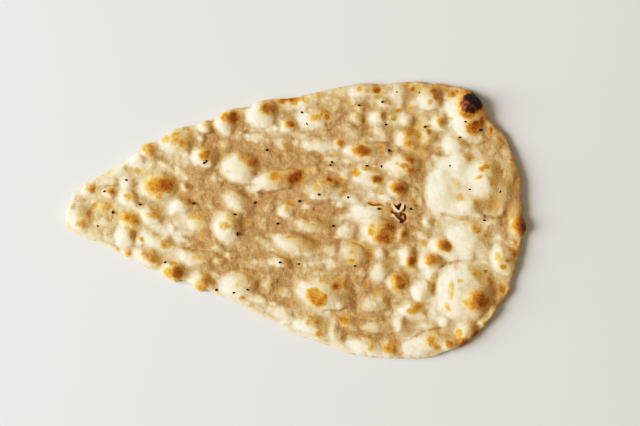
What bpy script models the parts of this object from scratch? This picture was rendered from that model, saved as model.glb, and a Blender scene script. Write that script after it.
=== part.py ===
"""Naan, a large teardrop flatbread: one closed solid with a puffed rim, raised blisters and folds on top, and a flat
underside that it rests on. Metres, +Z up, the origin at the middle of the underside.

Places are laid out on a flat sheet in millimetres, to the right (u) and down (v), and turned into metres at the end.
"""

import math

import bmesh
import bpy
import numpy as np
from mathutils import Vector
from mathutils.geometry import delaunay_2d_cdt

MM = 0.001
SHEET = 5.6  # height of the bread in the valleys between blisters
EDGE_MID = 2.9  # height at which the rounded edge stands out farthest
EDGE_ROUND = 6.5  # how far in from the edge the top reaches its full height
RIM_SWELL = 1.6  # extra height of the puffed band along the rim
RIM_BAND = 15.0  # how far in from the edge that band reaches
UNDER_INSET = 3.0  # the flat underside ends this far inside the outline
EDGE_STEP = 5.9  # spacing of points round the edge
TOP_STEP = 5.8  # spacing of points on the top
SOFTEN = 1.4  # how softly neighbouring blisters run into each other
WAVE = 0.5  # slow unevenness of the dough

# The outline as stations round the bread, from the tip along the far side, round the wide end and back.
STATIONS = (
    (64.3, 222), (66.5, 208), (74, 193), (86, 183), (104, 173.3), (120, 163.3), (136, 152), (148, 142),
    (164, 135), (184, 126), (205, 120.5), (220, 113), (242, 108), (265, 99.4), (290, 98), (320, 91),
    (355, 83.8), (385, 84), (417, 81), (450, 86), (471, 91), (486, 109.5), (500, 130), (512.5, 151),
    (521, 172), (522.5, 198), (526.5, 227), (520.5, 254), (511, 290), (495, 314), (477, 335.5), (455, 349.5),
    (428, 358.3), (390, 358.6), (350, 354), (315, 341.5), (287, 330), (257, 315), (224, 298), (200, 291.5),
    (177, 281.5), (154, 270.3), (128, 259), (99, 242.5), (77, 234.5),
)  # fmt: skip

# Blisters: centre u, v, half length, half width, turn of the long axis (degrees, down to the right), height.
BLISTERS = (
    # tip and left
    (80, 216, 13, 13, 0, 4.0), (92, 190, 9, 8, -40, 2.6), (109, 193, 8, 7, 0, 2.6), (130, 199, 12, 9, 35, 3.6),
    (106, 208, 10, 7, 0, 2.4), (128, 183, 9, 8, 0, 3.0), (141, 157, 9, 8, 0, 3.2), (160, 186, 18, 13, 0, 6.6),
    (152, 216, 13, 9, 10, 3.2), (182, 206, 13, 9, 0, 3.4), (131, 221, 11, 11, 0, 3.8), (127, 237, 13, 11, 0, 3.6),
    (148, 257, 17, 8, 28, 3.6), (173, 271, 13, 11, 20, 4.6), (157, 240, 18, 12, 10, 4.6), (186, 187, 8, 7, 0, 2.4),
    # far side and middle left
    (178, 140, 17, 13, -20, 5.2), (206, 129, 10, 9, -60, 3.6), (226, 121, 14, 16, 0, 6.2), (263, 113, 17, 15, 0, 6.6),
    (289, 126, 9, 8, 0, 3.2), (205, 157, 13, 12, 0, 5.6), (236, 166, 18, 16, 0, 7.0), (257, 138, 13, 8, 0, 2.6),
    (285, 143, 10, 10, 0, 2.8), (278, 181, 25, 12, -12, 5.8), (240, 203, 20, 12, 25, 4.8), (198, 222, 13, 9, 0, 3.2),
    (228, 227, 18, 17, 0, 6.6), (288, 211, 9, 10, 0, 3.0), (195, 257, 18, 9, 8, 3.4), (201, 280, 12, 11, 0, 3.8),
    (240, 283, 23, 15, 8, 6.2), (298, 245, 27, 13, 17, 5.4), (270, 262, 14, 9, 15, 2.6),
    # middle
    (318, 119, 20, 10, -5, 3.6), (368, 92, 17, 9, 0, 3.0), (359, 116, 9, 8, 0, 2.8), (379, 116, 9, 8, 0, 3.0),
    (398, 95, 9, 9, 0, 3.4), (384, 134, 10, 10, 0, 3.0), (318, 145, 22, 11, 5, 2.8), (362, 151, 17, 10, 0, 4.4),
    (415, 138, 22, 12, 0, 4.4), (407, 118, 10, 9, 0, 2.8), (370, 175, 17, 10, 5, 4.0), (398, 188, 11, 9, 0, 4.0),
    (326, 190, 22, 12, 5, 4.6), (405, 166, 18, 12, 0, 3.8), (310, 205, 9, 9, 0, 2.6), (372, 213, 21, 11, 0, 3.2),
    (379, 230, 19, 17, 0, 6.4), (316, 226, 21, 9, 0, 3.2), (357, 253, 18, 14, 0, 4.6), (347, 232, 12, 9, 0, 2.8),
    (382, 272, 13, 12, 0, 3.8), (408, 254, 10, 14, 0, 3.8), (399, 281, 12, 11, 0, 4.8), (325, 292, 31, 18, 4, 8.2),
    (310, 325, 20, 11, 10, 4.0), (341, 329, 10, 15, 0, 3.4), (376, 303, 15, 12, 0, 4.2), (388, 324, 23, 9, 0, 3.8),
    (374, 345, 25, 11, 4, 4.0),
    # wide end
    (431, 99, 13, 12, 0, 4.6), (468, 115, 22, 26, -20, 7.0), (441, 121, 11, 10, 0, 3.4), (495, 147, 9, 12, -20, 3.0),
    (445, 185, 22, 30, 0, 7.0), (489, 184, 29, 28, 0, 8.0), (516, 225, 9, 11, 0, 4.0), (428, 221, 10, 9, 0, 2.4),
    (468, 238, 25, 20, 0, 4.6), (444, 246, 13, 9, 20, 5.0), (431, 262, 11, 10, 0, 4.2), (465, 292, 29, 29, 0, 12.5),
    (424, 291, 12, 12, 0, 4.2), (413, 309, 14, 10, -15, 4.0), (503, 257, 12, 14, 0, 5.0), (430, 342, 32, 12, -4, 5.0),
    (465, 331, 14, 11, -35, 4.6), (450, 321, 10, 8, 0, 3.0),
)  # fmt: skip

# Folds pressed into the top: depth, half width, then the run of the fold.
FOLDS = (
    (1.6, 5.0, (440, 214), (455, 218), (478, 221), (504, 217)),
    (1.2, 4.5, (350, 331), (372, 334), (400, 334), (425, 330), (452, 329)),
    (1.0, 4.0, (180, 247), (200, 249), (222, 256), (240, 268), (262, 274)),
    (1.0, 4.0, (297, 232), (320, 236), (352, 241)),
    (1.0, 4.0, (94, 204), (92, 211), (88, 218)),
)


def closed_curve(stations, step):
    """Points about a step apart on a centripetal Catmull-Rom curve through the stations."""
    dense = []
    n = len(stations)
    for i in range(n):
        p = [Vector(stations[(i + k) % n]) for k in (-1, 0, 1, 2)]
        t = [0.0]
        for a, b in zip(p, p[1:]):
            t.append(t[-1] + math.sqrt((b - a).length))
        for s in range(16):
            x = t[1] + (t[2] - t[1]) * s / 16
            a = [p[k] * ((t[k + 1] - x) / (t[k + 1] - t[k])) + p[k + 1] * ((x - t[k]) / (t[k + 1] - t[k])) for k in range(3)]
            b = [a[k] * ((t[k + 2] - x) / (t[k + 2] - t[k])) + a[k + 1] * ((x - t[k]) / (t[k + 2] - t[k])) for k in range(2)]
            dense.append(b[0] * ((t[2] - x) / (t[2] - t[1])) + b[1] * ((x - t[1]) / (t[2] - t[1])))
    dense = np.array([tuple(v) for v in dense])
    ring = np.vstack([dense, dense[:1]])
    along = np.concatenate([[0], np.cumsum(np.linalg.norm(np.diff(ring, axis=0), axis=1))])
    count = max(8, round(along[-1] / step))
    at = np.arange(count) * along[-1] / count
    return np.stack([np.interp(at, along, ring[:, 0]), np.interp(at, along, ring[:, 1])], axis=1)


def inward(ring):
    """Unit vectors that point into the bread at each point of its outline."""
    along = np.roll(ring, -1, axis=0) - np.roll(ring, 1, axis=0)
    side = np.stack([-along[:, 1], along[:, 0]], axis=1)
    side /= np.linalg.norm(side, axis=1, keepdims=True)
    return side if area(ring) > 0 else -side


def area(ring):
    nxt = np.roll(ring, -1, axis=0)
    return 0.5 * float(np.sum(ring[:, 0] * nxt[:, 1] - nxt[:, 0] * ring[:, 1]))


def distance_to_run(points, run):
    """Distance from each point to a run of straight stretches."""
    best = np.full(len(points), np.inf)
    for a, b in zip(run[:-1], run[1:]):
        a, d = np.asarray(a, float), np.asarray(b, float) - np.asarray(a, float)
        t = np.clip((points - a) @ d / max(d @ d, 1e-12), 0, 1)
        best = np.minimum(best, np.linalg.norm(points - a - t[:, None] * d, axis=1))
    return best


def inside(points, ring):
    u, v = points[:, 0], points[:, 1]
    odd = np.zeros(len(points), bool)
    for (ua, va), (ub, vb) in zip(ring, np.roll(ring, -1, axis=0)):
        if va != vb:
            odd ^= ((va > v) != (vb > v)) & (u < (ub - ua) * (v - va) / (vb - va) + ua)
    return odd


def soft_max(a, b):
    gap = np.maximum(SOFTEN - np.abs(a - b), 0) / SOFTEN
    return np.maximum(a, b) + gap * gap * SOFTEN / 4


def relief(points, edge):
    """Height of the top at layout points that lie an edge distance inside the outline."""
    u, v = points[:, 0], points[:, 1]
    rise = RIM_SWELL * np.exp(-(((edge - RIM_BAND / 2) / (RIM_BAND / 2)) ** 2))
    for cu, cv, long_half, wide_half, turn, height in BLISTERS:
        c, s = math.cos(math.radians(turn)), math.sin(math.radians(turn))
        a = ((u - cu) * c + (v - cv) * s) / long_half
        b = ((v - cv) * c - (u - cu) * s) / wide_half
        q = a * a + b * b
        dome = np.where(q < 1, height * np.clip(1 - q, 0, 1) ** 0.8, -(np.sqrt(q) - 1) * height)
        rise = soft_max(rise, dome)
    for depth, half, *run in FOLDS:
        rise -= depth * np.exp(-((distance_to_run(points, run) / half) ** 2))
    rise += WAVE * np.sin(u / 17.0 + 1.3 * np.sin(v / 23.0)) * np.cos(v / 19.0 + 0.7)
    full = np.maximum(SHEET + rise, SHEET - 1.2)
    shoulder = np.sqrt(np.clip(1 - (1 - np.clip(edge / EDGE_ROUND, 0, 1)) ** 2, 0, 1))
    return EDGE_MID + (full - EDGE_MID) * shoulder


def make_naan():
    outline = closed_curve(STATIONS, EDGE_STEP)
    into = inward(outline)
    closed = list(outline) + [outline[0]]

    # The sides: rings from the flat underside out to the edge's middle and in over its shoulder.
    shoulder = outline + into * 1.6
    rings = [
        (outline + into * UNDER_INSET, np.zeros(len(outline))),
        (outline + into * 0.8, np.full(len(outline), 1.1)),
        (outline, np.full(len(outline), EDGE_MID)),
        (shoulder, relief(shoulder, np.full(len(outline), 1.6))),
    ]

    # The top: a triangular grid that keeps clear of the shoulder ring, joined to it.
    low, high = outline.min(axis=0), outline.max(axis=0)
    rows = np.arange(low[1], high[1], TOP_STEP * math.sqrt(3) / 2)
    grid = np.array([
        (u, v) for k, v in enumerate(rows) for u in np.arange(low[0] + (k % 2) * TOP_STEP / 2, high[0], TOP_STEP)
    ])
    grid = grid[inside(grid, outline)]
    edge = distance_to_run(grid, closed)
    keep = edge > 1.6 + TOP_STEP * 0.62
    grid, edge = grid[keep], edge[keep]
    heights = relief(grid, edge)

    n = len(outline)
    flat = [Vector(p) for p in shoulder] + [Vector(p) for p in grid]
    _, _, faces, origins, _, _ = delaunay_2d_cdt(flat, [(k, (k + 1) % n) for k in range(n)], [list(range(n))], 1, 1e-6)
    where = [o[0] for o in origins]

    middle = (low + high) / 2
    mesh = bmesh.new()

    def place(points, z):
        return [
            mesh.verts.new(((u - middle[0]) * MM, (middle[1] - v) * MM, h * MM)) for (u, v), h in zip(points, z)
        ]

    loops = [place(points, z) for points, z in rings]
    top = loops[-1] + place(grid, heights)
    for face in faces:
        mesh.faces.new([top[where[k]] for k in face])
    for lower, upper in zip(loops, loops[1:]):
        for k in range(n):
            j = (k + 1) % n
            mesh.faces.new((lower[k], lower[j], upper[j], upper[k]))
    under = mesh.faces.new(loops[0])
    bmesh.ops.recalc_face_normals(mesh, faces=mesh.faces)
    for face in mesh.faces:
        face.smooth = face is not under
    bmesh.ops.triangulate(mesh, faces=[under])
    for face in mesh.faces:
        if all(abs(vert.co.z) < 1e-9 for vert in face.verts):
            face.smooth = False

    data = bpy.data.meshes.new("naan")
    mesh.to_mesh(data)
    mesh.free()
    return data


def bread_material():
    material = bpy.data.materials.new("baked_bread")
    material.use_nodes = True
    shader = material.node_tree.nodes["Principled BSDF"]
    shader.inputs["Base Color"].default_value = (0.78, 0.60, 0.36, 1)
    shader.inputs["Roughness"].default_value = 0.62
    shader.inputs["Metallic"].default_value = 0.0
    return material


def main():
    for old in list(bpy.data.objects):
        bpy.data.objects.remove(old, do_unlink=True)
    naan = bpy.data.objects.new("naan", make_naan())
    naan.data.materials.append(bread_material())
    bpy.context.scene.collection.objects.link(naan)


main()
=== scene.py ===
"""The looks of a large teardrop naan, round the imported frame: a blistered, folded and browned top, a puffed rim, a baked
underside and black onion seeds.

Places are laid out on a flat sheet in millimetres, to the right (u) and down (v), as the bread is seen from above.
"""

import math

import bmesh
import bpy
import numpy as np
from mathutils import Matrix, Vector
from mathutils.geometry import delaunay_2d_cdt


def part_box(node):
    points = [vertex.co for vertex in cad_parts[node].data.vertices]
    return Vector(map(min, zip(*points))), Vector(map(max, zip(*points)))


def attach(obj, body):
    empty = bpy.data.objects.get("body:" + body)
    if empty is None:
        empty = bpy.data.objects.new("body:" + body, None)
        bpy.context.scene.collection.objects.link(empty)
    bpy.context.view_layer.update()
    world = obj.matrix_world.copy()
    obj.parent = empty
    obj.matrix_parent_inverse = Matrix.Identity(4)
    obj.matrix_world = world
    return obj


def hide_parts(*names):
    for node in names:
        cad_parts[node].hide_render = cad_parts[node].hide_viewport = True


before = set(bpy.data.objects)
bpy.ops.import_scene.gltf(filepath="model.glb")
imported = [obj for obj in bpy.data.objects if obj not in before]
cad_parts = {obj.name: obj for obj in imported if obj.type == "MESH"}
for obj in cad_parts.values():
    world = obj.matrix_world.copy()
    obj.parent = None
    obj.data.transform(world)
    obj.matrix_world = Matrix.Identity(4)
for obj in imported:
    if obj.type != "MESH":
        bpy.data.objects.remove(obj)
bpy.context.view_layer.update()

MM = 0.001

# ---------------------------------------------------------------- sizes
SHEET = 5.4  # height of the bread in its valleys
EDGE_MID = 2.8  # height at which the rounded edge stands out farthest
EDGE_ROUND = 3.6  # how far in from the edge the top reaches its full height
UNDER_ROUND = 3.4  # how far in from the edge the underside comes down to the floor
RIM_SWELL = 0.6
DOME_HEIGHT = 1.20  # of every named blister
LEAN = 0.07  # how far blisters lean to the left, as a share of their half width
TOP_STEP = 1.2
UNDER_STEP = 3.0
OUTLINE_STEP = 1.25
FINE_STEP = 0.5  # round the torn blister and the slit
CELL = 0.5  # of the working sheet on which heights and browning are laid out
LOW_U, LOW_V, HIGH_U, HIGH_V = 54.0, 70.0, 538.0, 370.0

OUTLINE = (
    (64.3, 222), (66, 210), (69, 204), (71.5, 197), (75, 192.3), (80, 189.5), (84, 184), (90, 181.5), (95, 178),
    (101, 175.5), (107, 171), (115, 166.5), (125, 159.7), (135, 153), (139, 150.4), (141, 147), (145, 143),
    (153, 142), (160, 138.5), (168, 132), (176, 128.5), (184, 126), (190, 126), (198, 123.5), (205, 120),
    (210, 120.3), (213, 121.5), (216, 117), (225, 110.5), (236, 108), (250, 106.5), (256, 102), (265, 99.4),
    (280, 98.5), (294, 97.3), (302, 95.3), (310, 93.5), (320, 91), (330, 89.3), (340, 86.8), (350, 85), (360, 83.2),
    (370, 83.2), (383, 84.4), (395, 82.5), (405, 81.7), (413, 81.6), (417, 80.8), (421, 81.8), (434, 83.8),
    (438, 82.8), (445, 84.8), (460, 87), (470, 90), (476, 95), (482, 102), (486, 109.5), (491, 120), (498, 128),
    (504, 133), (509, 141), (512.5, 151), (516, 161), (520, 170), (522.3, 180), (522.6, 187), (522.3, 200),
    (524.8, 209.5), (523.3, 213), (525.5, 222), (526.6, 227), (526.4, 230.5), (523.8, 237), (523, 241), (521, 252),
    (517.5, 265), (513, 279), (510.5, 291), (505, 300), (499.5, 306), (496.5, 313), (489, 322), (481, 331),
    (472, 339.5), (462, 347), (453, 350), (443, 353.5), (433, 357.3), (420, 358.8), (400, 358.8), (380, 358),
    (360, 356), (342, 352), (328, 346), (312, 340.5), (300, 336.5), (290, 332.5), (284, 328.5), (280, 325),
    (272, 321), (257, 315), (244, 307), (230, 300.5), (216, 294.5), (210, 291.5), (207, 290.3), (204, 291.7),
    (200, 292.2), (194, 288.5), (191, 284.5), (186, 281.5), (180, 280.5), (177, 282), (175, 283), (169, 281.5),
    (163, 277), (160, 272.5), (154, 270.3), (147, 268.5), (139, 262.8), (132, 259.5), (128, 259), (123, 255),
    (112, 250), (104, 245.5), (96, 241.5), (88, 240), (81, 236.2), (76, 234.3), (70, 230.8), (65, 225),
)  # fmt: skip

# Blisters: centre u, v, half sizes along and across, turn of the first (degrees, down to the right), height.
BLISTERS = (
    # tip and left
    (80, 218, 13, 13, 0, 3.4), (70, 208, 6, 14, 12, 1.8), (90, 190, 9, 8, -35, 2.6), (109, 193, 8, 7, 0, 2.8),
    (105, 207, 9, 6, 0, 2.2), (130, 199, 11.5, 8.5, 35, 4.0), (128, 184, 9, 8, 0, 3.2), (118, 171, 19, 6, -33, 1.8),
    (139, 158, 9, 8, 0, 3.4), (148, 151, 9, 10, 0, 3.6), (160, 186, 19, 13.5, 0, 7.0), (152, 216, 13, 9, 8, 3.8),
    (182, 206, 13, 9, 5, 4.0), (131, 221, 11, 10, 0, 4.4), (126, 237, 12, 11, 0, 4.6), (141, 240, 6, 6, 0, 2.8),
    (127, 252, 7, 6, 20, 2.2), (148, 257, 17, 8.5, 28, 4.4), (173, 271, 12.5, 11, 20, 5.4), (157, 241, 17, 9, 18, 4.6),
    (186, 187, 7, 6, 0, 2.6), (160, 227, 9, 5, 10, 2.0), (110, 224, 8, 6, 0, 1.5), (97, 214, 5, 5, 0, 1.2),
    (112, 240, 9, 5, 25, 1.4), (166, 164, 7, 5, -8, 1.6), (188, 154, 5, 8, 0, 1.6), (172, 229, 5, 6, 0, 1.6), (186, 241, 9, 5, 5, 1.6), (178, 220, 9, 5, 10, 1.6),
    (117, 205, 5, 4, 0, 1.2), (141, 209, 6, 4, 20, 1.4), (186, 233, 9, 5, 8, 1.6), (172, 256, 8, 5, 20, 1.8),
    # far side, left
    (178, 140, 17, 13, -20, 5.4), (206, 127, 9, 8, 0, 3.8), (203, 139, 6, 8, 20, 2.0), (226, 121, 13, 15, 0, 5.6),
    (263, 113, 17, 15, 0, 6.2), (289, 126, 8, 8, 0, 3.6), (278, 126, 6, 5, 0, 2.0), (205, 157, 13, 12, 0, 6.2),
    (240, 167, 19, 16.5, 0, 6.0), (257, 137, 13, 7, 0, 2.6), (285, 144, 9, 9, 0, 2.6), (278, 180, 25, 12, -12, 5.8),
    (205, 192, 7, 4, 0, 1.6), (238, 202, 19, 11.5, 25, 4.6), (198, 222, 13, 9, 5, 3.4),
    (228, 227, 17, 17, 0, 5.8), (268, 209, 6, 6, 0, 1.8), (288, 211, 8.5, 10, 0, 3.4), (195, 257, 18, 9, 6, 3.8),
    (220, 262, 8, 5, 10, 2.2), (201, 281, 12, 10.5, 0, 4.4), (240, 284, 23, 15, 8, 5.0), (282, 262, 13, 9, 20, 2.6),
    (298, 245, 27, 12.5, 17, 5.8), (288, 99, 10, 6, 0, 1.8), (224, 145, 8, 6, 0, 1.6),
    (250, 150, 10, 5, 0, 1.5), (214, 206, 9, 5, 15, 1.7),
    (264, 240, 10, 6, 15, 1.8), (255, 262, 6, 4, 10, 1.2), (208, 267, 4.5, 3.6, 0, 1.4), (216, 176, 5, 7.5, 0, 1.8), (186, 176, 6, 6, 0, 1.6), (213, 240, 9, 5, 10, 1.7),
    (262, 300, 12, 7, 20, 2.4),
    (270, 284, 9, 8, 0, 2.6), (288, 294, 10, 8, 0, 2.2), (285, 312, 12, 7, 20, 2.6), (216, 275, 8, 6, 0, 1.8),
    # middle, far side
    (318, 119, 20, 9, -4, 4.0), (305, 104, 13, 6, -5, 2.4), (330, 100, 10, 7, 0, 1.0), (368, 92, 17, 8, 0, 3.6),
    (345, 95, 9, 6, 0, 1.0), (360, 109, 6, 4.5, 0, 1.8), (357, 118, 11, 7, 0, 3.0), (379, 117, 9, 7.5, 0, 3.6),
    (398, 95, 9, 9, 0, 2.0), (383, 133, 10, 8.5, 0, 2.4), (340, 143, 8, 7, 0, 2.6), (316, 146, 21, 9, 4, 2.8),
    (362, 151, 17.5, 9, 0, 5.0), (409, 138, 14, 11, 0, 5.4), (428, 137, 13, 10, 0, 4.0), (408, 119, 10, 8, 0, 3.4),
    (338, 108, 6, 5, 0, 1.6), (316, 171, 8, 5.5, 0, 2.2), (370, 175, 17, 10, 5, 4.6), (398, 188, 10.5, 8.5, 0, 4.6),
    (326, 190, 22, 11.5, 4, 5.2), (405, 165, 19, 13, 0, 5.4), (310, 206, 9, 7, 0, 2.6), (372, 213, 21, 9.5, 4, 4.4),
    (379, 231, 18, 17, 10, 6.2), (402, 233, 7, 7, 0, 2.8), (314, 226, 21, 8.5, 3, 3.8), (357, 253, 18, 13, 8, 4.2),
    (347, 232, 11, 8, 15, 3.0), (381, 253, 9, 8, 0, 3.2), (382, 272, 13, 12, 0, 4.6), (409, 255, 9, 14, -12, 4.6),
    (399, 281, 12, 10.5, 0, 5.4), (325, 293, 30, 18, 5, 7.8), (310, 325, 20, 10, 12, 4.2), (334, 331, 7, 15, 0, 2.4),
    (347, 322, 8, 7, 0, 2.0), (376, 303, 15, 12, 0, 5.0), (380, 325, 18, 8, 0, 2.8), (401, 323, 9, 12, 10, 2.8),
    (370, 346, 23, 10.5, 4, 4.8), (390, 347, 13, 11, 0, 4.2), (354, 133, 9, 5, 0, 1.8),
    (336, 158, 12, 5, 4, 1.8), (346, 176, 8, 7, 0, 2.4), (352, 198, 10, 6, 5, 2.4), (334, 207, 11, 6, 4, 1.0),
    (384, 196, 7, 6, 0, 2.0), (345, 217, 10, 5, 8, 1.8), (331, 249, 12, 5, 10, 1.6), (333, 262, 12, 6, 10, 2.0),
    (364, 273, 8, 7, 0, 2.0), (362, 290, 8, 8, 0, 2.2), (396, 300, 7, 6, 0, 1.6), (356, 312, 8, 5, 0, 1.6),
    (418, 102, 7, 5, 0, 1.8), (385, 104, 7, 5, 0, 1.8), (396, 149, 7, 5, 0, 1.8),
    (411, 244, 7, 5, 0, 1.8), (340, 340, 9, 6, 10, 1.8), (305, 262, 10, 5, 12, 1.7), (300, 280, 10, 6, 10, 1.8),
    # wide end
    (431, 98, 13, 12, 0, 5.2), (468, 114, 20, 25, -22, 7.4), (470, 104, 13, 12, 0, 9.2), (440, 121, 9.5, 9.5, 0, 4.6),
    (495, 147, 8, 9, -15, 1.6), (468, 186, 46, 35, 0, 4.8), (486, 181, 24, 25, 0, 7.8), (445, 191, 20, 19, 0, 5.8), (457, 146, 14, 10, 0, 4.4), (461, 163, 17, 13, 0, 5.4), (470, 204, 17, 11, 0, 6.0), (503, 190, 14, 25, 0, 4.6), (421, 200, 5, 6, 0, 2.2),
    (518, 225, 9, 10, 0, 5.0), (428, 222, 7, 7, 0, 2.4), (469, 238, 25, 19, 0, 4.8), (443, 246, 12, 9, 20, 5.6),
    (431, 261, 11.5, 10, 0, 5.2), (466, 293, 29, 29, 0, 7.6), (475, 297, 20, 20, 0, 9.9), (424, 291, 12, 11, -10, 5.0),
    (413, 310, 13.5, 9.5, -12, 4.6), (503, 257, 12, 14, 0, 6.0), (446, 321, 8, 6, 0, 3.0), (432, 343, 31, 12, -5, 5.6),
    (466, 332, 13, 11, -40, 5.2), (450, 344, 12, 9, -15, 5.0), (456, 158, 14, 8, -10, 2.4), (508, 178, 10, 16, 0, 3.4),
    (430, 166, 8, 9, 0, 2.6), (424, 150, 8, 4, 0, 1.6), (437, 158, 8, 7, 0, 2.2), (503, 240, 8, 7, 0, 2.4),
    (496, 221, 12, 6, 0, 1.8), (422, 234, 8, 6, 20, 2.2), (432, 276, 7, 6, 0, 2.0), (443, 308, 7, 5, 30, 1.6),
    (425, 326, 12, 5, -15, 1.8), (486, 322, 8, 9, 40, 3.0), (494, 312, 7, 8, 40, 2.6), (455, 97, 9, 6, 10, 2.6),
    (419, 112, 6, 4, 0, 1.6), (509, 204, 9, 7, 0, 1.6), (474, 262, 14, 5, 0, 1.8), (414, 270, 8, 6, 0, 1.8),
)  # fmt: skip

# Folds: depth of the groove, its half width, rise of the side above it on the sheet, and how far that rise reaches;
# then the run of the fold.
FOLDS = (
    (2.2, 1.2, 2.4, 7.0, (438, 211), (446, 214), (460, 217.5), (476, 219), (486, 220)),
    (1.5, 0.9, 1.5, 6.0, (483, 214), (495, 217), (507, 217)),
    (1.2, 0.8, 0.6, 4.0, (508, 214), (509, 226)),
    (1.6, 1.2, 0.8, 5.0, (437, 270), (448, 263), (460, 261), (480, 261)),
    (1.2, 1.0, 0.6, 4.0, (405, 222), (420, 228), (430, 235)),
    (1.2, 1.0, 0.0, 4.0, (438, 275), (437, 288), (438, 300)),
    (1.3, 0.9, 0.5, 4.0, (418, 302), (434, 304)),
    (1.6, 1.1, 1.2, 5.0, (180, 246), (200, 249), (215, 251), (222, 255), (234, 263)),
    (1.0, 0.9, 0.5, 4.0, (200, 271), (211, 273)),
    (1.2, 1.0, -0.8, 5.0, (224, 271), (245, 268), (262, 273)),
    (1.2, 1.0, 0.8, 5.0, (268, 250), (285, 257), (302, 263)),
    (1.1, 1.0, 1.2, 5.0, (296, 231), (320, 235), (335, 238), (352, 240), (361, 244), (371, 252)),
    (1.6, 0.9, 1.4, 5.0, (322, 310), (336, 311), (347, 310)),
    (0.9, 1.2, 0.0, 4.0, (358, 302), (356, 310), (357, 318)),
    (1.6, 0.9, 0.8, 4.0, (353, 317), (372, 320), (392, 319)),
    (1.2, 1.0, 1.0, 5.0, (348, 331), (372, 334), (402, 334)),
    (1.6, 0.9, 1.0, 6.0, (399, 342), (410, 339), (425, 331), (440, 328), (454, 327)),
    (1.5, 0.8, 1.0, 5.0, (365, 141), (380, 142), (398, 142)),
    (1.2, 0.8, 0.8, 5.0, (345, 165), (360, 166), (376, 166)),
    (1.2, 0.8, 0.6, 4.0, (403, 127), (420, 129), (432, 125), (440, 131), (450, 133)),
    (1.2, 1.0, 1.0, 6.0, (448, 133), (460, 138), (470, 142), (480, 144), (491, 139)),
    (1.4, 0.8, 0.6, 5.0, (412, 148), (430, 148), (448, 147)),
    (1.4, 0.9, 0.8, 4.0, (494, 153), (505, 155)),
    (1.5, 1.0, 0.8, 4.0, (243, 130), (252, 132), (264, 131)),
    (1.4, 0.9, 0.8, 4.0, (249, 121), (258, 129), (271, 128)),
    (1.5, 1.0, 0.8, 5.0, (220, 183), (240, 185), (260, 184)),
    (1.4, 0.9, 0.8, 4.0, (256, 191), (270, 193), (282, 190)),
    (1.2, 0.9, 0.6, 4.0, (104, 186), (113, 185), (123, 184)),
    (2.2, 1.7, 0.6, 4.0, (97, 202), (95, 207), (93, 211), (88, 218)),
    (1.3, 0.9, 0.6, 3.0, (132, 246), (139, 247), (146, 244)),
    (1.2, 0.9, 0.4, 3.0, (443, 307), (450, 313)),
    (1.0, 0.8, 0.4, 3.0, (474, 322), (484, 319), (491, 314)),
    (1.0, 0.8, 0.4, 3.0, (472, 327), (482, 325), (489, 320)),
    (1.4, 0.9, 0.6, 4.0, (424, 110), (431, 111), (440, 108)),
    (1.1, 0.9, 0.6, 4.0, (300, 131), (318, 131), (336, 128)),
    (1.1, 0.9, 0.6, 4.0, (180, 198), (192, 199), (201, 197)),
    (1.1, 0.9, 0.6, 4.0, (232, 189), (246, 190), (258, 196)),
    (1.1, 0.9, 0.6, 4.0, (206, 171), (214, 172), (222, 168)),
    (1.1, 0.9, 0.5, 4.0, (148, 201), (162, 202), (176, 199)),
    (1.1, 0.9, 0.5, 4.0, (303, 203), (322, 203), (342, 200)),
    (1.1, 0.9, 0.5, 4.0, (405, 182), (415, 186), (422, 192)),
)  # fmt: skip
SLIT = ((369, 203.6), (374, 204.9), (384, 204.6))

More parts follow.
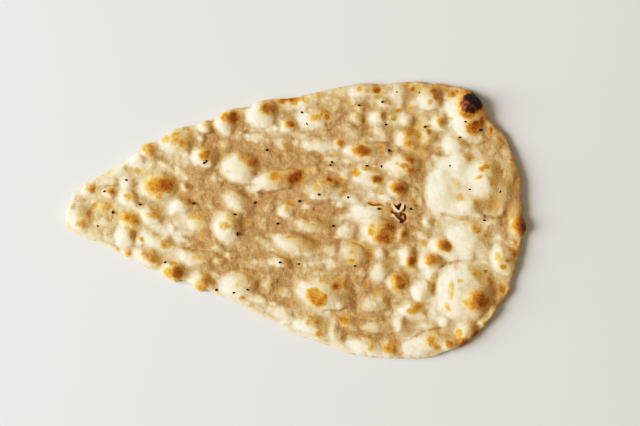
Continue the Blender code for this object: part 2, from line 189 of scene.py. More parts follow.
# Browned spots: centre u, v, half sizes, turn, how brown (0 cream, 0.5 golden, 0.75 brown, 1 charred).
SPOTS = (
    (79, 224, 4.5, 4.5, 0, 0.36), (86, 217, 6, 9, 15, 0.26), (92, 188.5, 5.5, 5.5, 20, 0.44), (85, 200, 3.5, 3.5, 0, 0.3), (111.5, 191.5, 4.2, 4.2, 0, 0.60),
    (105, 207, 8, 4.6, 0, 0.42), (128, 197.5, 6.5, 5.6, 0, 0.38), (126.5, 196, 3.4, 3.2, 0, 0.46), (156, 186, 13.5, 10.5, 8, 0.62),
    (163, 185.5, 12.5, 8.6, 6, 0.68), (167, 184, 8, 6, 10, 0.72), (159, 196, 4.5, 3.6, 0, 0.5), (150, 151, 6, 7, -12, 0.46),
    (148, 146.5, 7, 4.0, -10, 0.56), (144.5, 147.5, 4, 4.4, 0, 0.58),
    (166, 139, 5.5, 5, -30, 0.48), (176, 135, 8, 4.5, -20, 0.46), (180, 144, 8, 7, 0, 0.38), (188, 137, 5, 7, 0, 0.34), (154, 215, 8.5, 5.0, 0, 0.46), (126.5, 217.5, 7, 6.2, 0, 0.62), (127, 217.5, 3.4, 3.8, 0, 0.74), (123, 219, 3, 2.2, 0, 0.66), (127, 227, 3.4, 3.6, 0, 0.50), (135, 220, 7, 9, 0, 0.46),
    (187, 186.5, 3.6, 3.5, 0, 0.52), (183, 193.5, 8, 3, 0, 0.36), (94, 234, 2.4, 2, 0, 0.34), (116, 213.5, 2.4, 1.6, 0, 0.5), (133, 235, 4.6, 8, 0, 0.40), (141.5, 239, 3.2, 3, 0, 0.62), (118, 249, 2.8, 2.5, 0, 0.4),
    (128, 253, 4.2, 4, 0, 0.48), (145, 254, 4.5, 3.6, 0, 0.42), (152, 258, 12, 6.5, 30, 0.42), (95.5, 206, 2.4, 4.4, 30, 0.56), (90, 216, 1.8, 5, 30, 0.44), (177, 272.5, 6.5, 7.5, 0, 0.72),
    (168, 273, 6.5, 7, 25, 0.54), (173, 264, 4.6, 3.2, 0, 0.5), (166, 244, 7.5, 6, 15, 0.42), (137.5, 170.5, 5, 4, 0, 0.42),
    (147, 174, 3, 3, 0, 0.34), (175, 135, 5, 3.5, 0, 0.34), (188, 129, 3.2, 1.8, 0, 0.46), (172, 141, 4, 5, 0, 0.34),
    (205, 126, 4, 4, 0, 0.26), (233, 118, 7.5, 7.5, 0, 0.68), (225, 117, 5, 5.5, 0, 0.56), (232, 130, 3, 2.4, 0, 0.3),
    (266, 109, 7.4, 7.0, -30, 0.54), (265, 108.5, 4.0, 4.8, 0, 0.66), (282, 100.5, 6.5, 3.4, -4, 0.74), (291, 99.5, 6.5, 3.6, -4, 0.76),
    (296, 99, 4, 4, 0, 0.5), (294, 103, 5, 3.2, 0, 0.46), (273, 109, 4, 6, 0, 0.4), (308, 100, 6, 5, 0, 0.3), (318, 96, 6, 4, 0, 0.32), (314, 118, 9, 5, 0, 0.3), (289.5, 124, 5.4, 4.6, 0, 0.72), (205, 155.5, 5.8, 6.6, 0, 0.72),
    (219, 160, 2.7, 2.7, 0, 0.46), (222, 149, 2.2, 4, 0, 0.4), (252, 163, 5.0, 4.8, 0, 0.66), (228, 172, 4.2, 3.2, 0, 0.3),
    (287.5, 146, 4.6, 4.2, 0, 0.36), (275.5, 176.5, 7, 5.6, 0, 0.60), (296, 177, 9.4, 7.0, -30, 0.80), (292, 180, 5, 4, 0, 0.74), (285, 177, 6, 4, 0, 0.46),
    (198, 217, 10, 5.5, 0, 0.38), (229, 216, 8, 4, 0, 0.30), (202.5, 236, 3, 4.5, 0, 0.40), (248, 222, 4, 3, 30, 0.42), (225, 225, 6.6, 5.0, 0, 0.50), (234, 227, 4.2, 5, 0, 0.3), (245, 223, 6, 5, 0, 0.3),
    (291, 203.5, 5.8, 3.2, 8, 0.58), (287, 208.5, 3.4, 4, 0, 0.44), (198, 257, 9, 4.0, 0, 0.34), (204, 263.5, 2.2, 1.7, 0, 0.6),
    (220, 262, 2.4, 2.2, 0, 0.42), (201, 287, 9, 4.6, 0, 0.48), (206, 281, 6, 8.5, 12, 0.52), (214, 280, 5, 6, 0, 0.3),
    (243, 298, 4.2, 2.7, 0, 0.47), (272, 285, 2.8, 2.8, 0, 0.42), (281, 291, 4.5, 4.2, 0, 0.36), (289, 237, 4.8, 2.2, 0, 0.52),
    (317, 97, 3.2, 3.2, 0, 0.32), (305, 96, 3.2, 3.2, 0, 0.27), (327, 117, 3.4, 4.2, 0, 0.70), (317, 117.5, 8, 4.6, 0, 0.42), (322, 114, 2.6, 2.6, 0, 0.5),
    (351, 102.5, 2.5, 2.5, 0, 0.44), (359, 89, 3.6, 3.6, 0, 0.40), (368, 90, 4.0, 3.4, 0, 0.44), (377, 90.5, 5.0, 3.6, 0, 0.68),
    (378, 97, 4.2, 2.2, 0, 0.52), (364, 109.5, 2.7, 2.7, 0, 0.52), (363.5, 120.5, 3.4, 4.0, 0, 0.60), (355, 114, 4.2, 2.2, 0, 0.27),
    (383.5, 116, 3.4, 5.4, 0, 0.46), (394, 118.5, 3.2, 3.2, 0, 0.62), (399, 110.5, 3.4, 2.7, 0, 0.62), (411, 107.5, 3.8, 2.2, 0, 0.52),
    (407, 85, 4.0, 3.2, 0, 0.48), (413.5, 89, 2.6, 3.8, 35, 0.80), (340, 142.5, 4.6, 5.2, 0, 0.68), (362, 151, 10.5, 6, 3, 0.76),
    (380, 147.5, 5.2, 2.8, 0, 0.52), (408.5, 133, 6.0, 4.4, 0, 0.62), (410, 144, 7.6, 4.6, 0, 0.54), (407, 139, 4.5, 7, 0, 0.44), (415, 124, 3.4, 2.6, 0, 0.5),
    (318, 170, 4.4, 2.8, 0, 0.52), (310, 172, 6, 4, 0, 0.36), (356, 172.5, 5.2, 4.6, 0, 0.67), (377, 179.5, 6.6, 4.2, 10, 0.7), (365, 169, 6, 2.4, 0, 0.37),
    (398, 188, 8.5, 6.6, 5, 0.80), (381, 193, 3.4, 2.7, 0, 0.47), (371.5, 202.8, 5, 2.2, 5, 0.6), (378, 203.6, 6, 1.6, 0, 0.5), (391.5, 210.5, 3, 4, 0, 0.6), (384, 212, 6, 7, 0, 0.3), (330, 179.5, 6, 3.4, 0, 0.66), (323, 182, 6, 3, 0, 0.5), (340, 179, 4.2, 2.7, 0, 0.62),
    (317, 188, 4.0, 4.8, 0, 0.42), (345, 192, 3.6, 2.4, 0, 0.54), (412.5, 160.5, 4.8, 3.4, 8, 0.72), (408, 159, 4, 3, 0, 0.46),
    (404, 166, 5.2, 3.0, 0, 0.56), (397, 164, 2.3, 2.3, 0, 0.42), (411, 171, 7.6, 3.4, 8, 0.50), (418, 169, 1.9, 1.9, 0, 0.57),
    (413, 154.5, 1.9, 1.9, 0, 0.42), (311, 213, 8, 2.0, 0, 0.48), (302, 180, 3.5, 3, 0, 0.4), (383, 234, 13, 12, 0, 0.5), (384, 237, 11, 8, 0, 0.66), (380, 237, 6, 5, 0, 0.72),
    (389, 227, 6, 6.2, 0, 0.66), (371, 232, 4.2, 5, 0, 0.52), (403.5, 234, 4.8, 4.6, 0, 0.60), (311, 225, 6, 3.2, 0, 0.27),
    (318, 242, 2.8, 3.2, 0, 0.37), (353, 244, 6.6, 3.4, 15, 0.42), (351, 252, 3.6, 2.6, 0, 0.40), (351, 261, 4.4, 4.0, 0, 0.56),
    (369, 253, 4.0, 8, 0, 0.52), (412, 262, 6, 6.5, 0, 0.68), (403, 246, 2.2, 2.2, 0, 0.32), (399, 282, 10.5, 9.5, 0, 0.54), (399, 279, 8, 4, 25, 0.64), (402, 286, 7, 4, -20, 0.66),
    (366, 284, 3.2, 4.0, 0, 0.58), (378, 289, 4.6, 3.0, 0, 0.48), (336, 286, 6.6, 6.0, 0, 0.56), (336, 286, 4.6, 4.6, 0, 0.74), (322, 280, 3.6, 4.4, 0, 0.42),
    (316, 297, 11, 10, 30, 0.52), (311, 295, 5, 6.6, 0, 0.74), (321, 302, 6.4, 5.2, -30, 0.76), (315, 290, 6, 2.8, 8, 0.66), (325, 297, 2.6, 5, 0, 0.66), (313.5, 301.5, 5, 3, 35, 0.66), (309, 322.5, 4.4, 4.4, 0, 0.36), (317, 322, 4.6, 5.0, 0, 0.42), (319, 334, 4.6, 3.4, 0, 0.46),
    (305, 313, 6, 3.2, 0, 0.32), (345, 320, 6.4, 6.0, 0, 0.60), (342.5, 319, 3.6, 3.6, 0, 0.72), (371, 347, 3.6, 4.6, 0, 0.50), (390, 349, 8, 6, 20, 0.54), (387, 348, 4.6, 4.6, 0, 0.64),
    (392, 341, 4.4, 3.2, 0, 0.42), (433, 91.5, 5.0, 3.4, 0, 0.70), (436, 97, 4.2, 4.0, 0, 0.58), (430, 102, 3.0, 3.0, 0, 0.44),
    (437, 84, 2.4, 2.2, 0, 0.5), (425, 85, 1.5, 1.5, 0, 0.5), (452, 95, 4.6, 4.0, -20, 0.66), (457, 90.8, 2.6, 1.8, 0, 0.76),
    (445, 89, 2.4, 2.4, 0, 0.42), (470.5, 104, 14, 13, 0, 0.80), (470.5, 104, 12.5, 11.5, 0, 0.94), (470.8, 103.4, 10.6, 10, 0, 1.0), (472, 98, 10, 5, 8, 1.2), (478, 103, 4.5, 8, 0, 1.2), (467, 115.5, 9, 3.6, 10, 0.66), (462, 93, 5, 3, 0, 0.5), (450, 118.7, 4.4, 2.8, 0, 0.38),
    (473.5, 127.5, 8.6, 8, 0, 0.70), (475, 123.5, 5, 3.6, 0, 0.80), (481.5, 122, 2.8, 6.5, 8, 0.80), (486, 116, 5, 12, -15, 0.30), (490.8, 131, 2.4, 5.0, -4, 0.82), (439.5, 121, 4.6, 7.2, -20, 0.46),
    (428.5, 132, 3.6, 3.4, 0, 0.56), (419, 135.5, 3.6, 3.6, 0, 0.50), (427, 141, 8, 4, 0, 0.30),
    (504.5, 143.5, 1.8, 2.4, -20, 0.66), (500, 138, 2.6, 1.4, 20, 0.5), (496, 136.5, 1.8, 1.4, 0, 0.5), (511.5, 160, 2.2, 1.8, 0, 0.62), (514, 155, 1.6, 3, -15, 0.4), (502, 146, 3, 5, -20, 0.34), (485.5, 167, 6.6, 3.6, -8, 0.52), (481, 170, 4.4, 3.2, 0, 0.50), (479, 177, 6, 2.3, -24, 0.42),
    (492.3, 184, 3.2, 3.0, 0, 0.48), (502, 171.5, 3.0, 3.0, 0, 0.50), (460, 197, 5, 6, 0, 0.32), (495, 197, 12, 8, 0, 0.24),
    (465, 212, 3.6, 3.2, 0, 0.22), (413, 200, 5, 4, 0, 0.32), (427, 197, 2, 5, 0, 0.34), (520, 225, 9, 10.5, 0, 0.76), (514, 225, 4, 5, 0, 0.6),
    (524, 227.5, 4.6, 8, 0, 0.86), (476.5, 229, 6.2, 5.8, 0, 0.44), (485.5, 236, 2.7, 2.7, 0, 0.36), (444.5, 245.5, 8.6, 6.4, 28, 0.62),
    (424, 243, 5, 4, 0, 0.42), (431.3, 260, 8.4, 7.2, 0, 0.54), (431, 263, 5, 3, 0, 0.60), (433.5, 288, 3, 9, 4, 0.46), (433, 277, 3.6, 4, 0, 0.38), (451, 290, 3.6, 11, 2, 0.42), (447.5, 307, 3, 5.5, -30, 0.46),
    (474.7, 274, 3.0, 3.0, 0, 0.44), (459.6, 281, 4.2, 3.0, 0, 0.34), (486, 271.5, 2.6, 2.6, 0, 0.6), (488.5, 279, 2.0, 2.4, 0, 0.5),
    (476.5, 300.5, 14, 12.5, -10, 0.58), (481, 301, 9, 11.5, -20, 0.64), (497, 256.5, 3.4, 5.4, 0, 0.46), (514.5, 252, 4.2, 6.4, 0, 0.58),
    (507.4, 261, 2.8, 2.8, 0, 0.52), (503, 267, 4.8, 3.0, 0, 0.60), (517, 243, 3.2, 5.2, 0, 0.47), (503, 289, 4.4, 5.2, 0, 0.66),
    (410, 310.5, 4.5, 3.6, 0, 0.55), (418, 306.5, 6, 4.6, -20, 0.55), (415, 309, 10, 6, -15, 0.42), (432, 341, 6.5, 7, 0, 0.52), (437, 347, 5, 4.5, 0, 0.46), (449, 343.5, 3.8, 4.6, 0, 0.72), (459, 333, 4.5, 5.5, 30, 0.56), (461, 339, 4, 3.4, 0, 0.56),
    (464, 343, 7, 4, -35, 0.74), (475, 335, 3.4, 8, 38, 0.70), (492, 285, 2, 8, -12, 0.46), (485, 322, 4.2, 3.2, 0, 0.42), (493, 314, 3.2, 5, 30, 0.34),
    (495, 303, 4, 6, 30, 0.4), (300, 99, 5, 2.4, 0, 0.45), (400, 100, 3, 2, 0, 0.2), (256, 186, 2, 2, 0, 0.3),
    (467, 92, 4, 2.4, 15, 0.52), (214, 116, 4, 3, -30, 0.4), (246, 108, 6, 2.4, 0, 0.35),
    (335, 88, 6, 2, 0, 0.3), (392, 83, 7, 2, 0, 0.3), (408, 82, 5, 2, 0, 0.45), (424, 83, 5, 2, 0, 0.4), (448, 86, 7, 2.2, 6, 0.45),
)  # fmt: skip

# Soft areas: centre u, v, half sizes, how damp and see-through the dough is there (below 0 is drier and paler).
DAMP_AREAS = (
    (208, 188, 18, 20, 0.9), (205, 240, 16, 12, 0.9), (212, 142, 15, 16, 0.7), (258, 214, 20, 24, 1.0), (298, 158, 22, 14, 1.0),
    (320, 184, 24, 14, 0.9), (316, 222, 18, 18, 0.9), (292, 254, 18, 14, 0.8), (268, 287, 16, 14, 0.9), (252, 148, 16, 12, 0.7),
    (338, 122, 16, 10, 0.6), (412, 210, 10, 22, 0.9), (358, 264, 13, 14, 1.0), (362, 316, 17, 16, 1.0),
    (392, 290, 14, 14, 0.5), (493, 140, 10, 10, 0.5), (506, 212, 12, 12, 0.9),
    (222, 268, 20, 12, 0.6), (330, 250, 12, 9, 0.4), (405, 240, 10, 14, 0.7), (345, 112, 20, 10, 0.4),
    (104, 212, 12, 10, 0.2), (430, 90, 14, 8, 0.6), (300, 300, 18, 14, 0.7), (380, 340, 24, 12, 0.6),
    (388, 152, 10, 20, 0.5), (468, 100, 12, 12, 0.3), (372, 238, 22, 14, 0.3), (480, 325, 14, 14, 0.3), (232, 188, 10, 16, 0.5),
    (150, 195, 10, 6, 0.2), (490, 250, 8, 14, 0.3), (412, 170, 12, 16, 0.5), (190, 150, 18, 10, 0.3), (445, 340, 24, 10, 0.3),
    (128, 178, 12, 22, -0.4), (165, 238, 24, 12, -0.6), (448, 182, 16, 24, -0.5), (355, 196, 14, 10, -0.5), (350, 221, 10, 10, -0.6),
    (428, 286, 11, 12, -0.8), (462, 272, 22, 10, -0.6), (125, 158, 20, 10, -0.5), (300, 102, 14, 8, -0.4), (415, 348, 14, 10, -0.5),
    (340, 348, 20, 8, -0.3), (258, 320, 26, 8, -0.3), (76, 212, 10, 22, -0.3), (465, 240, 26, 14, -0.6), (374, 190, 10, 12, -0.3),
    (238, 168, 10, 10, -0.7), (430, 312, 14, 10, -0.6), (480, 285, 10, 12, -0.5), (232, 225, 10, 12, -0.5), (318, 262, 16, 8, -0.4),
    (302, 175, 14, 12, 0.5), (200, 185, 12, 10, 0.4), (362, 308, 16, 14, 0.5),
    (428, 262, 12, 26, -0.4), (398, 95, 9, 9, -0.9),
    (312, 168, 26, 14, 0.6), (250, 152, 14, 8, 0.3), (408, 218, 10, 20, 0.5), (366, 290, 14, 26, 0.5),
    (200, 196, 14, 14, 0.4), (510, 212, 9, 12, 0.6), (418, 172, 10, 14, 0.4), (440, 84, 14, 7, 0.5),
    (480, 166, 18, 16, -0.3), (443, 176, 14, 14, -0.5), (468, 160, 14, 12, -0.7), (466, 250, 24, 24, -0.35), (246, 170, 12, 14, -0.6), (165, 236, 18, 14, -0.4),
    (262, 118, 14, 14, -0.5), (178, 138, 14, 10, -0.4), (226, 118, 10, 12, -0.4), (204, 154, 10, 10, -0.4),
    (200, 173, 10, 8, 0.6), (222, 187, 12, 6, 0.6), (262, 222, 12, 10, 0.5), (243, 252, 14, 8, 0.6),
    (216, 136, 8, 10, 0.5), (276, 148, 16, 8, 0.5), (292, 190, 12, 10, 0.5), (232, 264, 10, 6, 0.6), (196, 246, 20, 5, 0.5),
    (258, 236, 8, 8, 0.5), (157, 160, 8, 8, 0.3), (118, 187, 4, 7, 0.5), (328, 228, 16, 10, 0.5), (288, 228, 14, 8, 0.4),
    (282, 160, 26, 9, 0.6), (300, 164, 12, 8, 0.4), (294, 195, 12, 6, 0.4), (312, 213, 10, 4, 0.6), (330, 212, 14, 7, 0.4),
    (255, 148, 8, 6, 0.4), (425, 150, 10, 6, 0.3), (448, 88, 12, 5, 0.3), (500, 140, 8, 12, 0.3), (455, 145, 12, 8, -0.4),
    (424, 100, 8, 12, -0.5), (456, 118, 8, 18, -0.5), (314, 146, 16, 7, -0.4),
    (362, 300, 8, 20, 0.5), (512, 178, 7, 34, 0.6),
    (160, 168, 24, 6, -0.4), (445, 190, 14, 20, -0.3), (420, 248, 8, 8, -0.5),
    (300, 172, 14, 10, 0.5), (280, 154, 20, 8, 0.4), (322, 186, 10, 10, 0.4), (290, 268, 14, 8, 0.4),
    (363, 268, 8, 12, 0.5), (346, 300, 8, 10, 0.4), (502, 196, 14, 24, 0.45), (492, 206, 18, 10, 0.45), (522, 222, 6, 12, 0.6), (426, 170, 12, 30, 0.4), (407, 135, 8, 16, 0.4),
    (410, 225, 10, 16, 0.4), (495, 142, 12, 10, 0.4), (328, 226, 10, 8, 0.4), (444, 156, 8, 5, 0.4), (484, 190, 10, 14, 0.3), (518, 208, 6, 24, 0.5),
    (355, 252, 12, 9, 0.6), (278, 182, 14, 8, 0.4), (408, 264, 10, 10, 0.4),
    (384, 92, 40, 12, 0.4), (425, 96, 14, 14, 0.5), (288, 176, 20, 10, 0.3), (512, 206, 10, 18, 0.5), (408, 128, 12, 14, 0.3),
    (340, 126, 10, 7, 0.5), (371, 129, 9, 6, 0.5), (300, 156, 10, 8, 0.4), (352, 265, 16, 8, 0.5), (318, 150, 14, 6, -0.4),
    (244, 122, 5, 13, 0.7), (367, 127, 11, 7, 0.5), (424, 157, 9, 13, 0.8), (434, 152, 14, 5, 0.4), (507, 223, 5, 9, 0.5), (349, 331, 7, 9, 0.6),
    (343, 341, 6, 6, 0.4), (407, 322, 6, 9, 0.4), (362, 206, 9, 6, -0.5), (386, 199, 9, 5, -0.5), (342, 168, 9, 7, -0.5), (374, 301, 11, 9, -0.4),
    (144, 210, 7, 5, -0.4), (442, 321, 8, 6, -0.5), (454, 141, 10, 5, -0.4), (268, 288, 8, 7, 0.5), (221, 203, 9, 7, 0.5), (268, 229, 9, 9, 0.4),
    (388, 220, 7, 5, 0.4), (366, 266, 9, 8, 0.4),
)  # fmt: skip

# Soft areas of gold, partly golden crust and partly painted shade: centre u, v, half sizes, how golden.
GOLD_AND_SHADE_AREAS = (
    (372, 226, 10, 9, 0.40), (296, 292, 8, 8, 0.24), (278, 180, 12, 8, 0.40), (240, 284, 12, 8, 0.28), (358, 252, 10, 8, 0.30), (476, 146, 14, 5, 0.34), (490, 206, 20, 6, 0.38), (420, 140, 18, 26, 0.42), (495, 208, 15, 6, 0.38), (439, 224, 4, 9, 0.32), (500, 290, 9, 18, 0.32), (308, 246, 16, 9, 0.34), (464, 219, 20, 3, 0.34), (180, 138, 20, 12, 0.36), (248, 199, 13, 10, 0.32), (200, 222, 13, 9, 0.32), (232, 218, 14, 12, 0.28), (178, 220, 9, 5, 0.28), (197, 257, 14, 7, 0.30), (152, 154, 8, 9, 0.32), (262, 160, 16, 9, 0.20), (272, 104, 20, 9, 0.22), (402, 272, 14, 14, 0.26),
    (404, 172, 16, 14, 0.26), (430, 88, 22, 8, 0.38), (368, 92, 20, 9, 0.20), (504, 258, 12, 20, 0.28), (516, 214, 9, 20, 0.34),
    (513, 178, 8, 34, 0.36), (500, 140, 9, 14, 0.26), (470, 336, 22, 12, 0.28), (440, 250, 16, 12, 0.24), (322, 292, 20, 18, 0.24),
    (132, 220, 13, 13, 0.30), (104, 200, 18, 12, 0.30), (83, 218, 9, 14, 0.42), (336, 292, 10, 9, 0.34), (110, 215, 40, 34, 0.20), (148, 256, 22, 10, 0.32), (195, 283, 20, 8, 0.34), (92, 188, 12, 8, 0.34), (226, 118, 12, 14, 0.30), (160, 188, 18, 13, 0.28), (204, 153, 11, 10, 0.26), (240, 164, 18, 14, 0.20),
    (480, 118, 16, 22, 0.30), (385, 232, 18, 14, 0.26), (295, 178, 20, 10, 0.24), (338, 186, 20, 10, 0.24), (390, 346, 30, 10, 0.20),
    (360, 320, 14, 12, 0.20), (290, 208, 14, 10, 0.18), (485, 300, 22, 22, 0.24), (355, 260, 12, 12, 0.20), (312, 238, 16, 8, 0.18),
)  # fmt: skip

# Black onion seeds: u, v, turn (degrees), how far each is sunk (0 on top, 1 nearly under the crust).
SEEDS = (
    (104.5, 191.3, -10, 0.1), (126.5, 180, 20, 0.8), (97.5, 226, 10, 0.8), (112.5, 212.5, 85, 0.2),
    (140, 204.5, 0, 0.2), (165, 262.5, 0, 0.2), (204.5, 162.8, -30, 0.1),
    (206.8, 161, 40, 0.3), (267, 150, -20, 0.1), (302, 112.5, 10, 0.2), (307, 124, 60, 0.6), (193.5, 203.5, 0, 0.1),
    (255, 202.5, -30, 0.2), (235, 214.5, 15, 0.2), (237.5, 234, 80, 0.2), (277.5, 223.5, 20, 0.1), (216.5, 290, 0, 0.3),
    (234, 292.5, -20, 0.2), (247.5, 289.5, 30, 0.2), (280, 262.5, 0, 0.1), (359, 105.5, 0, 0.1), (382.5, 102, -20, 0.2),
    (397, 92, 10, 1.05), (386, 124.5, 0, 0.0), (389, 150.5, 45, 0.1), (367, 166, 0, 0.2),
    (381.5, 166.5, 80, 0.3), (332, 162, 30, 0.7), (330.5, 165, -30, 0.8), (319, 194.5, 20, 0.2), (299.5, 201, 0, 0.2),
    (348, 197.5, 60, 0.1), (379, 209, 0, 0.2), (411, 209, 20, 0.3), (399, 209.5, 80, 0.3), (333.5, 226, 20, 0.1),
    (355, 266, 10, 0.1), (299, 264, 0, 0.8), (425, 126.5, -20, 0.1), (465, 122, 10, 0.5), (480.5, 130, 20, 0.2),
    (460, 137, -10, 0.1), (419.5, 92.5, 50, 1.0), (450, 166, 60, 0.92), (469.5, 189.5, 0, 0.7), (500, 191.5, -60, 0.95),
    (484.5, 220.5, 10, 0.1),
)  # fmt: skip
SEED_LONG, SEED_WIDE, SEED_DEEP = 3.6, 2.3, 1.8


# ---------------------------------------------------------------- noise
def noise(u, v, size, seed):
    """Smooth gradient noise from about -1 to 1, with features of that size in millimetres."""
    x, y = u / size, v / size
    xi, yi = np.floor(x).astype(np.int64), np.floor(y).astype(np.int64)
    xf, yf = x - xi, y - yi

    def corner(i, j):
        h = ((xi + i) * 374761393 + (yi + j) * 668265263 + seed * 974634777) & 0xFFFFFFFF
        h = ((h ^ (h >> 13)) * 1274126177) & 0xFFFFFFFF
        angle = ((h ^ (h >> 16)) & 0xFFFF) * (2 * math.pi / 65536)
        return np.cos(angle) * (xf - i) + np.sin(angle) * (yf - j)

    sx, sy = xf * xf * xf * (xf * (xf * 6 - 15) + 10), yf * yf * yf * (yf * (yf * 6 - 15) + 10)
    low = corner(0, 0) * (1 - sx) + corner(1, 0) * sx
    high = corner(0, 1) * (1 - sx) + corner(1, 1) * sx
    return 1.45 * (low * (1 - sy) + high * sy)


def cobbles(u, v, size, seed, stretch=1.35, turn=14.0):
    """Packed cells of about that size, longer one way: 0 on their borders rising to 1 inside, and a chance value each."""
    c, s = math.cos(math.radians(turn)), math.sin(math.radians(turn))
    x, y = (u * c + v * s) / (size * stretch), (v * c - u * s) / size
    xi, yi = np.floor(x).astype(np.int64), np.floor(y).astype(np.int64)
    near, next_near, chance = np.full(u.shape, 9.0), np.full(u.shape, 9.0), np.zeros(u.shape)
    for i in (-1, 0, 1):
        for j in (-1, 0, 1):
            h = ((xi + i) * 374761393 + (yi + j) * 668265263 + seed * 974634777) & 0xFFFFFFFF
            h = ((h ^ (h >> 13)) * 1274126177) & 0xFFFFFFFF
            h = h ^ (h >> 16)
            gap = np.hypot(xi + i + 0.1 + 0.8 * (h & 0xFF) / 255 - x, yi + j + 0.1 + 0.8 * (h >> 8 & 0xFF) / 255 - y)
            next_near = np.minimum(next_near, np.maximum(near, gap))
            chance = np.where(gap < near, (h >> 16 & 0xFF) / 255, chance)
            near = np.minimum(near, gap)
    return smooth(0.0, 0.62, next_near - near), chance


def smooth(low, high, x):
    t = np.clip((x - low) / (high - low), 0, 1)
    return t * t * (3 - 2 * t)


def blur(a, radius):
    """A box blur run twice, radius in millimetres."""
    r = max(1, round(radius / CELL))
    for axis in (0, 1, 0, 1):
        pad = [(0, 0), (0, 0)]
        pad[axis] = (r + 1, r)
        total = np.cumsum(np.pad(a, pad, mode="edge"), axis=axis)
        take = [slice(None), slice(None)]
        drop = [slice(None), slice(None)]
        take[axis], drop[axis] = slice(2 * r + 1, None), slice(None, -(2 * r + 1))
        a = (total[tuple(take)] - total[tuple(drop)]) / (2 * r + 1)
    return a


# ---------------------------------------------------------------- outline
def closed_curve(stations, step):
    """Points about a step apart on a centripetal Catmull-Rom curve through the stations."""
    dense = []
    n = len(stations)
    for i in range(n):
        p = [Vector(stations[(i + k) % n]) for k in (-1, 0, 1, 2)]
        t = [0.0]
        for a, b in zip(p, p[1:]):
            t.append(t[-1] + math.sqrt((b - a).length))
        for s in range(10):
            x = t[1] + (t[2] - t[1]) * s / 10
            a = [p[k] * ((t[k + 1] - x) / (t[k + 1] - t[k])) + p[k + 1] * ((x - t[k]) / (t[k + 1] - t[k])) for k in range(3)]
            b = [a[k] * ((t[k + 2] - x) / (t[k + 2] - t[k])) + a[k + 1] * ((x - t[k]) / (t[k + 2] - t[k])) for k in range(2)]
            dense.append(b[0] * ((t[2] - x) / (t[2] - t[1])) + b[1] * ((x - t[1]) / (t[2] - t[1])))
    dense = np.array([tuple(v) for v in dense])
    ring = np.vstack([dense, dense[:1]])
    along = np.concatenate([[0], np.cumsum(np.linalg.norm(np.diff(ring, axis=0), axis=1))])
    count = round(along[-1] / step)
    at = np.arange(count) * along[-1] / count
    return np.stack([np.interp(at, along, ring[:, 0]), np.interp(at, along, ring[:, 1])], axis=1)


def inward(ring, spread=3):
    """Unit vectors into the bread at each point of its outline, a little smoothed."""
    along = np.roll(ring, -spread, axis=0) - np.roll(ring, spread, axis=0)
    side = np.stack([-along[:, 1], along[:, 0]], axis=1)
    side /= np.linalg.norm(side, axis=1, keepdims=True)
    nxt = np.roll(ring, -1, axis=0)
    turned = np.sum(ring[:, 0] * nxt[:, 1] - nxt[:, 0] * ring[:, 1]) > 0
    return side if turned else -side


outline = closed_curve(OUTLINE, OUTLINE_STEP)
into = inward(outline)
wiggle = 0.36 * noise(outline[:, 0], outline[:, 1], 6.0, 3) + 0.30 * noise(outline[:, 0], outline[:, 1], 3.0, 4) * (1 + smooth(470, 500, outline[:, 0]))
outline = outline - into * wiggle[:, None]
into = inward(outline)

# ---------------------------------------------------------------- the working sheet
us = np.arange(LOW_U, HIGH_U, CELL)
vs = np.arange(LOW_V, HIGH_V, CELL)
U, V = np.meshgrid(us, vs)


def window(cu, cv, reach):
    """The part of the working sheet within reach of a point."""
    a = max(0, int((cu - reach - LOW_U) / CELL)), min(len(us), int((cu + reach - LOW_U) / CELL) + 2)
    b = max(0, int((cv - reach - LOW_V) / CELL)), min(len(vs), int((cv + reach - LOW_V) / CELL) + 2)
    return slice(*b), slice(*a)


def run_distance(run, reach):
    """Distance from the run of a fold, which side of it each cell lies on, and how far along it (0 to 1)."""
    far = np.full(U.shape, reach, float)
    side = np.zeros(U.shape)
    along = np.zeros(U.shape)
    run = [np.asarray(p, float) for p in run]
    total = sum(np.linalg.norm(b - a) for a, b in zip(run, run[1:]))
    done = 0.0
    for a, b in zip(run, run[1:]):
        d = b - a
        size = float(np.linalg.norm(d))
        w = window(*((a + b) / 2), size / 2 + reach)
        pu, pv = U[w] - a[0], V[w] - a[1]
        t = np.clip((pu * d[0] + pv * d[1]) / size**2, 0, 1)
        gap = np.hypot(pu - t * d[0], pv - t * d[1])
        closer = gap < far[w]
        far[w] = np.where(closer, gap, far[w])
        side[w] = np.where(closer, np.sign(d[1] * pu - d[0] * pv), side[w])
        along[w] = np.where(closer, (done + t * size) / total, along[w])
        done += size
    return far, side, along


def inside_of(ring):
    """True in the cells that lie inside a closed ring of points."""
    odd = np.zeros(U.shape, bool)
    for (ua, va), (ub, vb) in zip(ring, np.roll(ring, -1, axis=0)):
        if va == vb:
            continue
        lo, hi = min(va, vb), max(va, vb)
        rows = np.nonzero((vs >= lo) & (vs < hi))[0]
        for r in rows:
            cross = ua + (ub - ua) * (vs[r] - va) / (vb - va)
            odd[r] ^= us < cross
    return odd


def edge_field(ring, reach):
    """Distance inside a closed ring, up to reach; negative outside it."""
    gap = np.full(U.shape, reach, float)
    for a, b in zip(ring, np.roll(ring, -1, axis=0)):
        d = b - a
        w = window(*((a + b) / 2), reach + 1)
        pu, pv = U[w] - a[0], V[w] - a[1]
        t = np.clip((pu * d[0] + pv * d[1]) / max(float(d @ d), 1e-9), 0, 1)
        gap[w] = np.minimum(gap[w], np.hypot(pu - t * d[0], pv - t * d[1]))
    return np.where(inside_of(ring), gap, -gap)


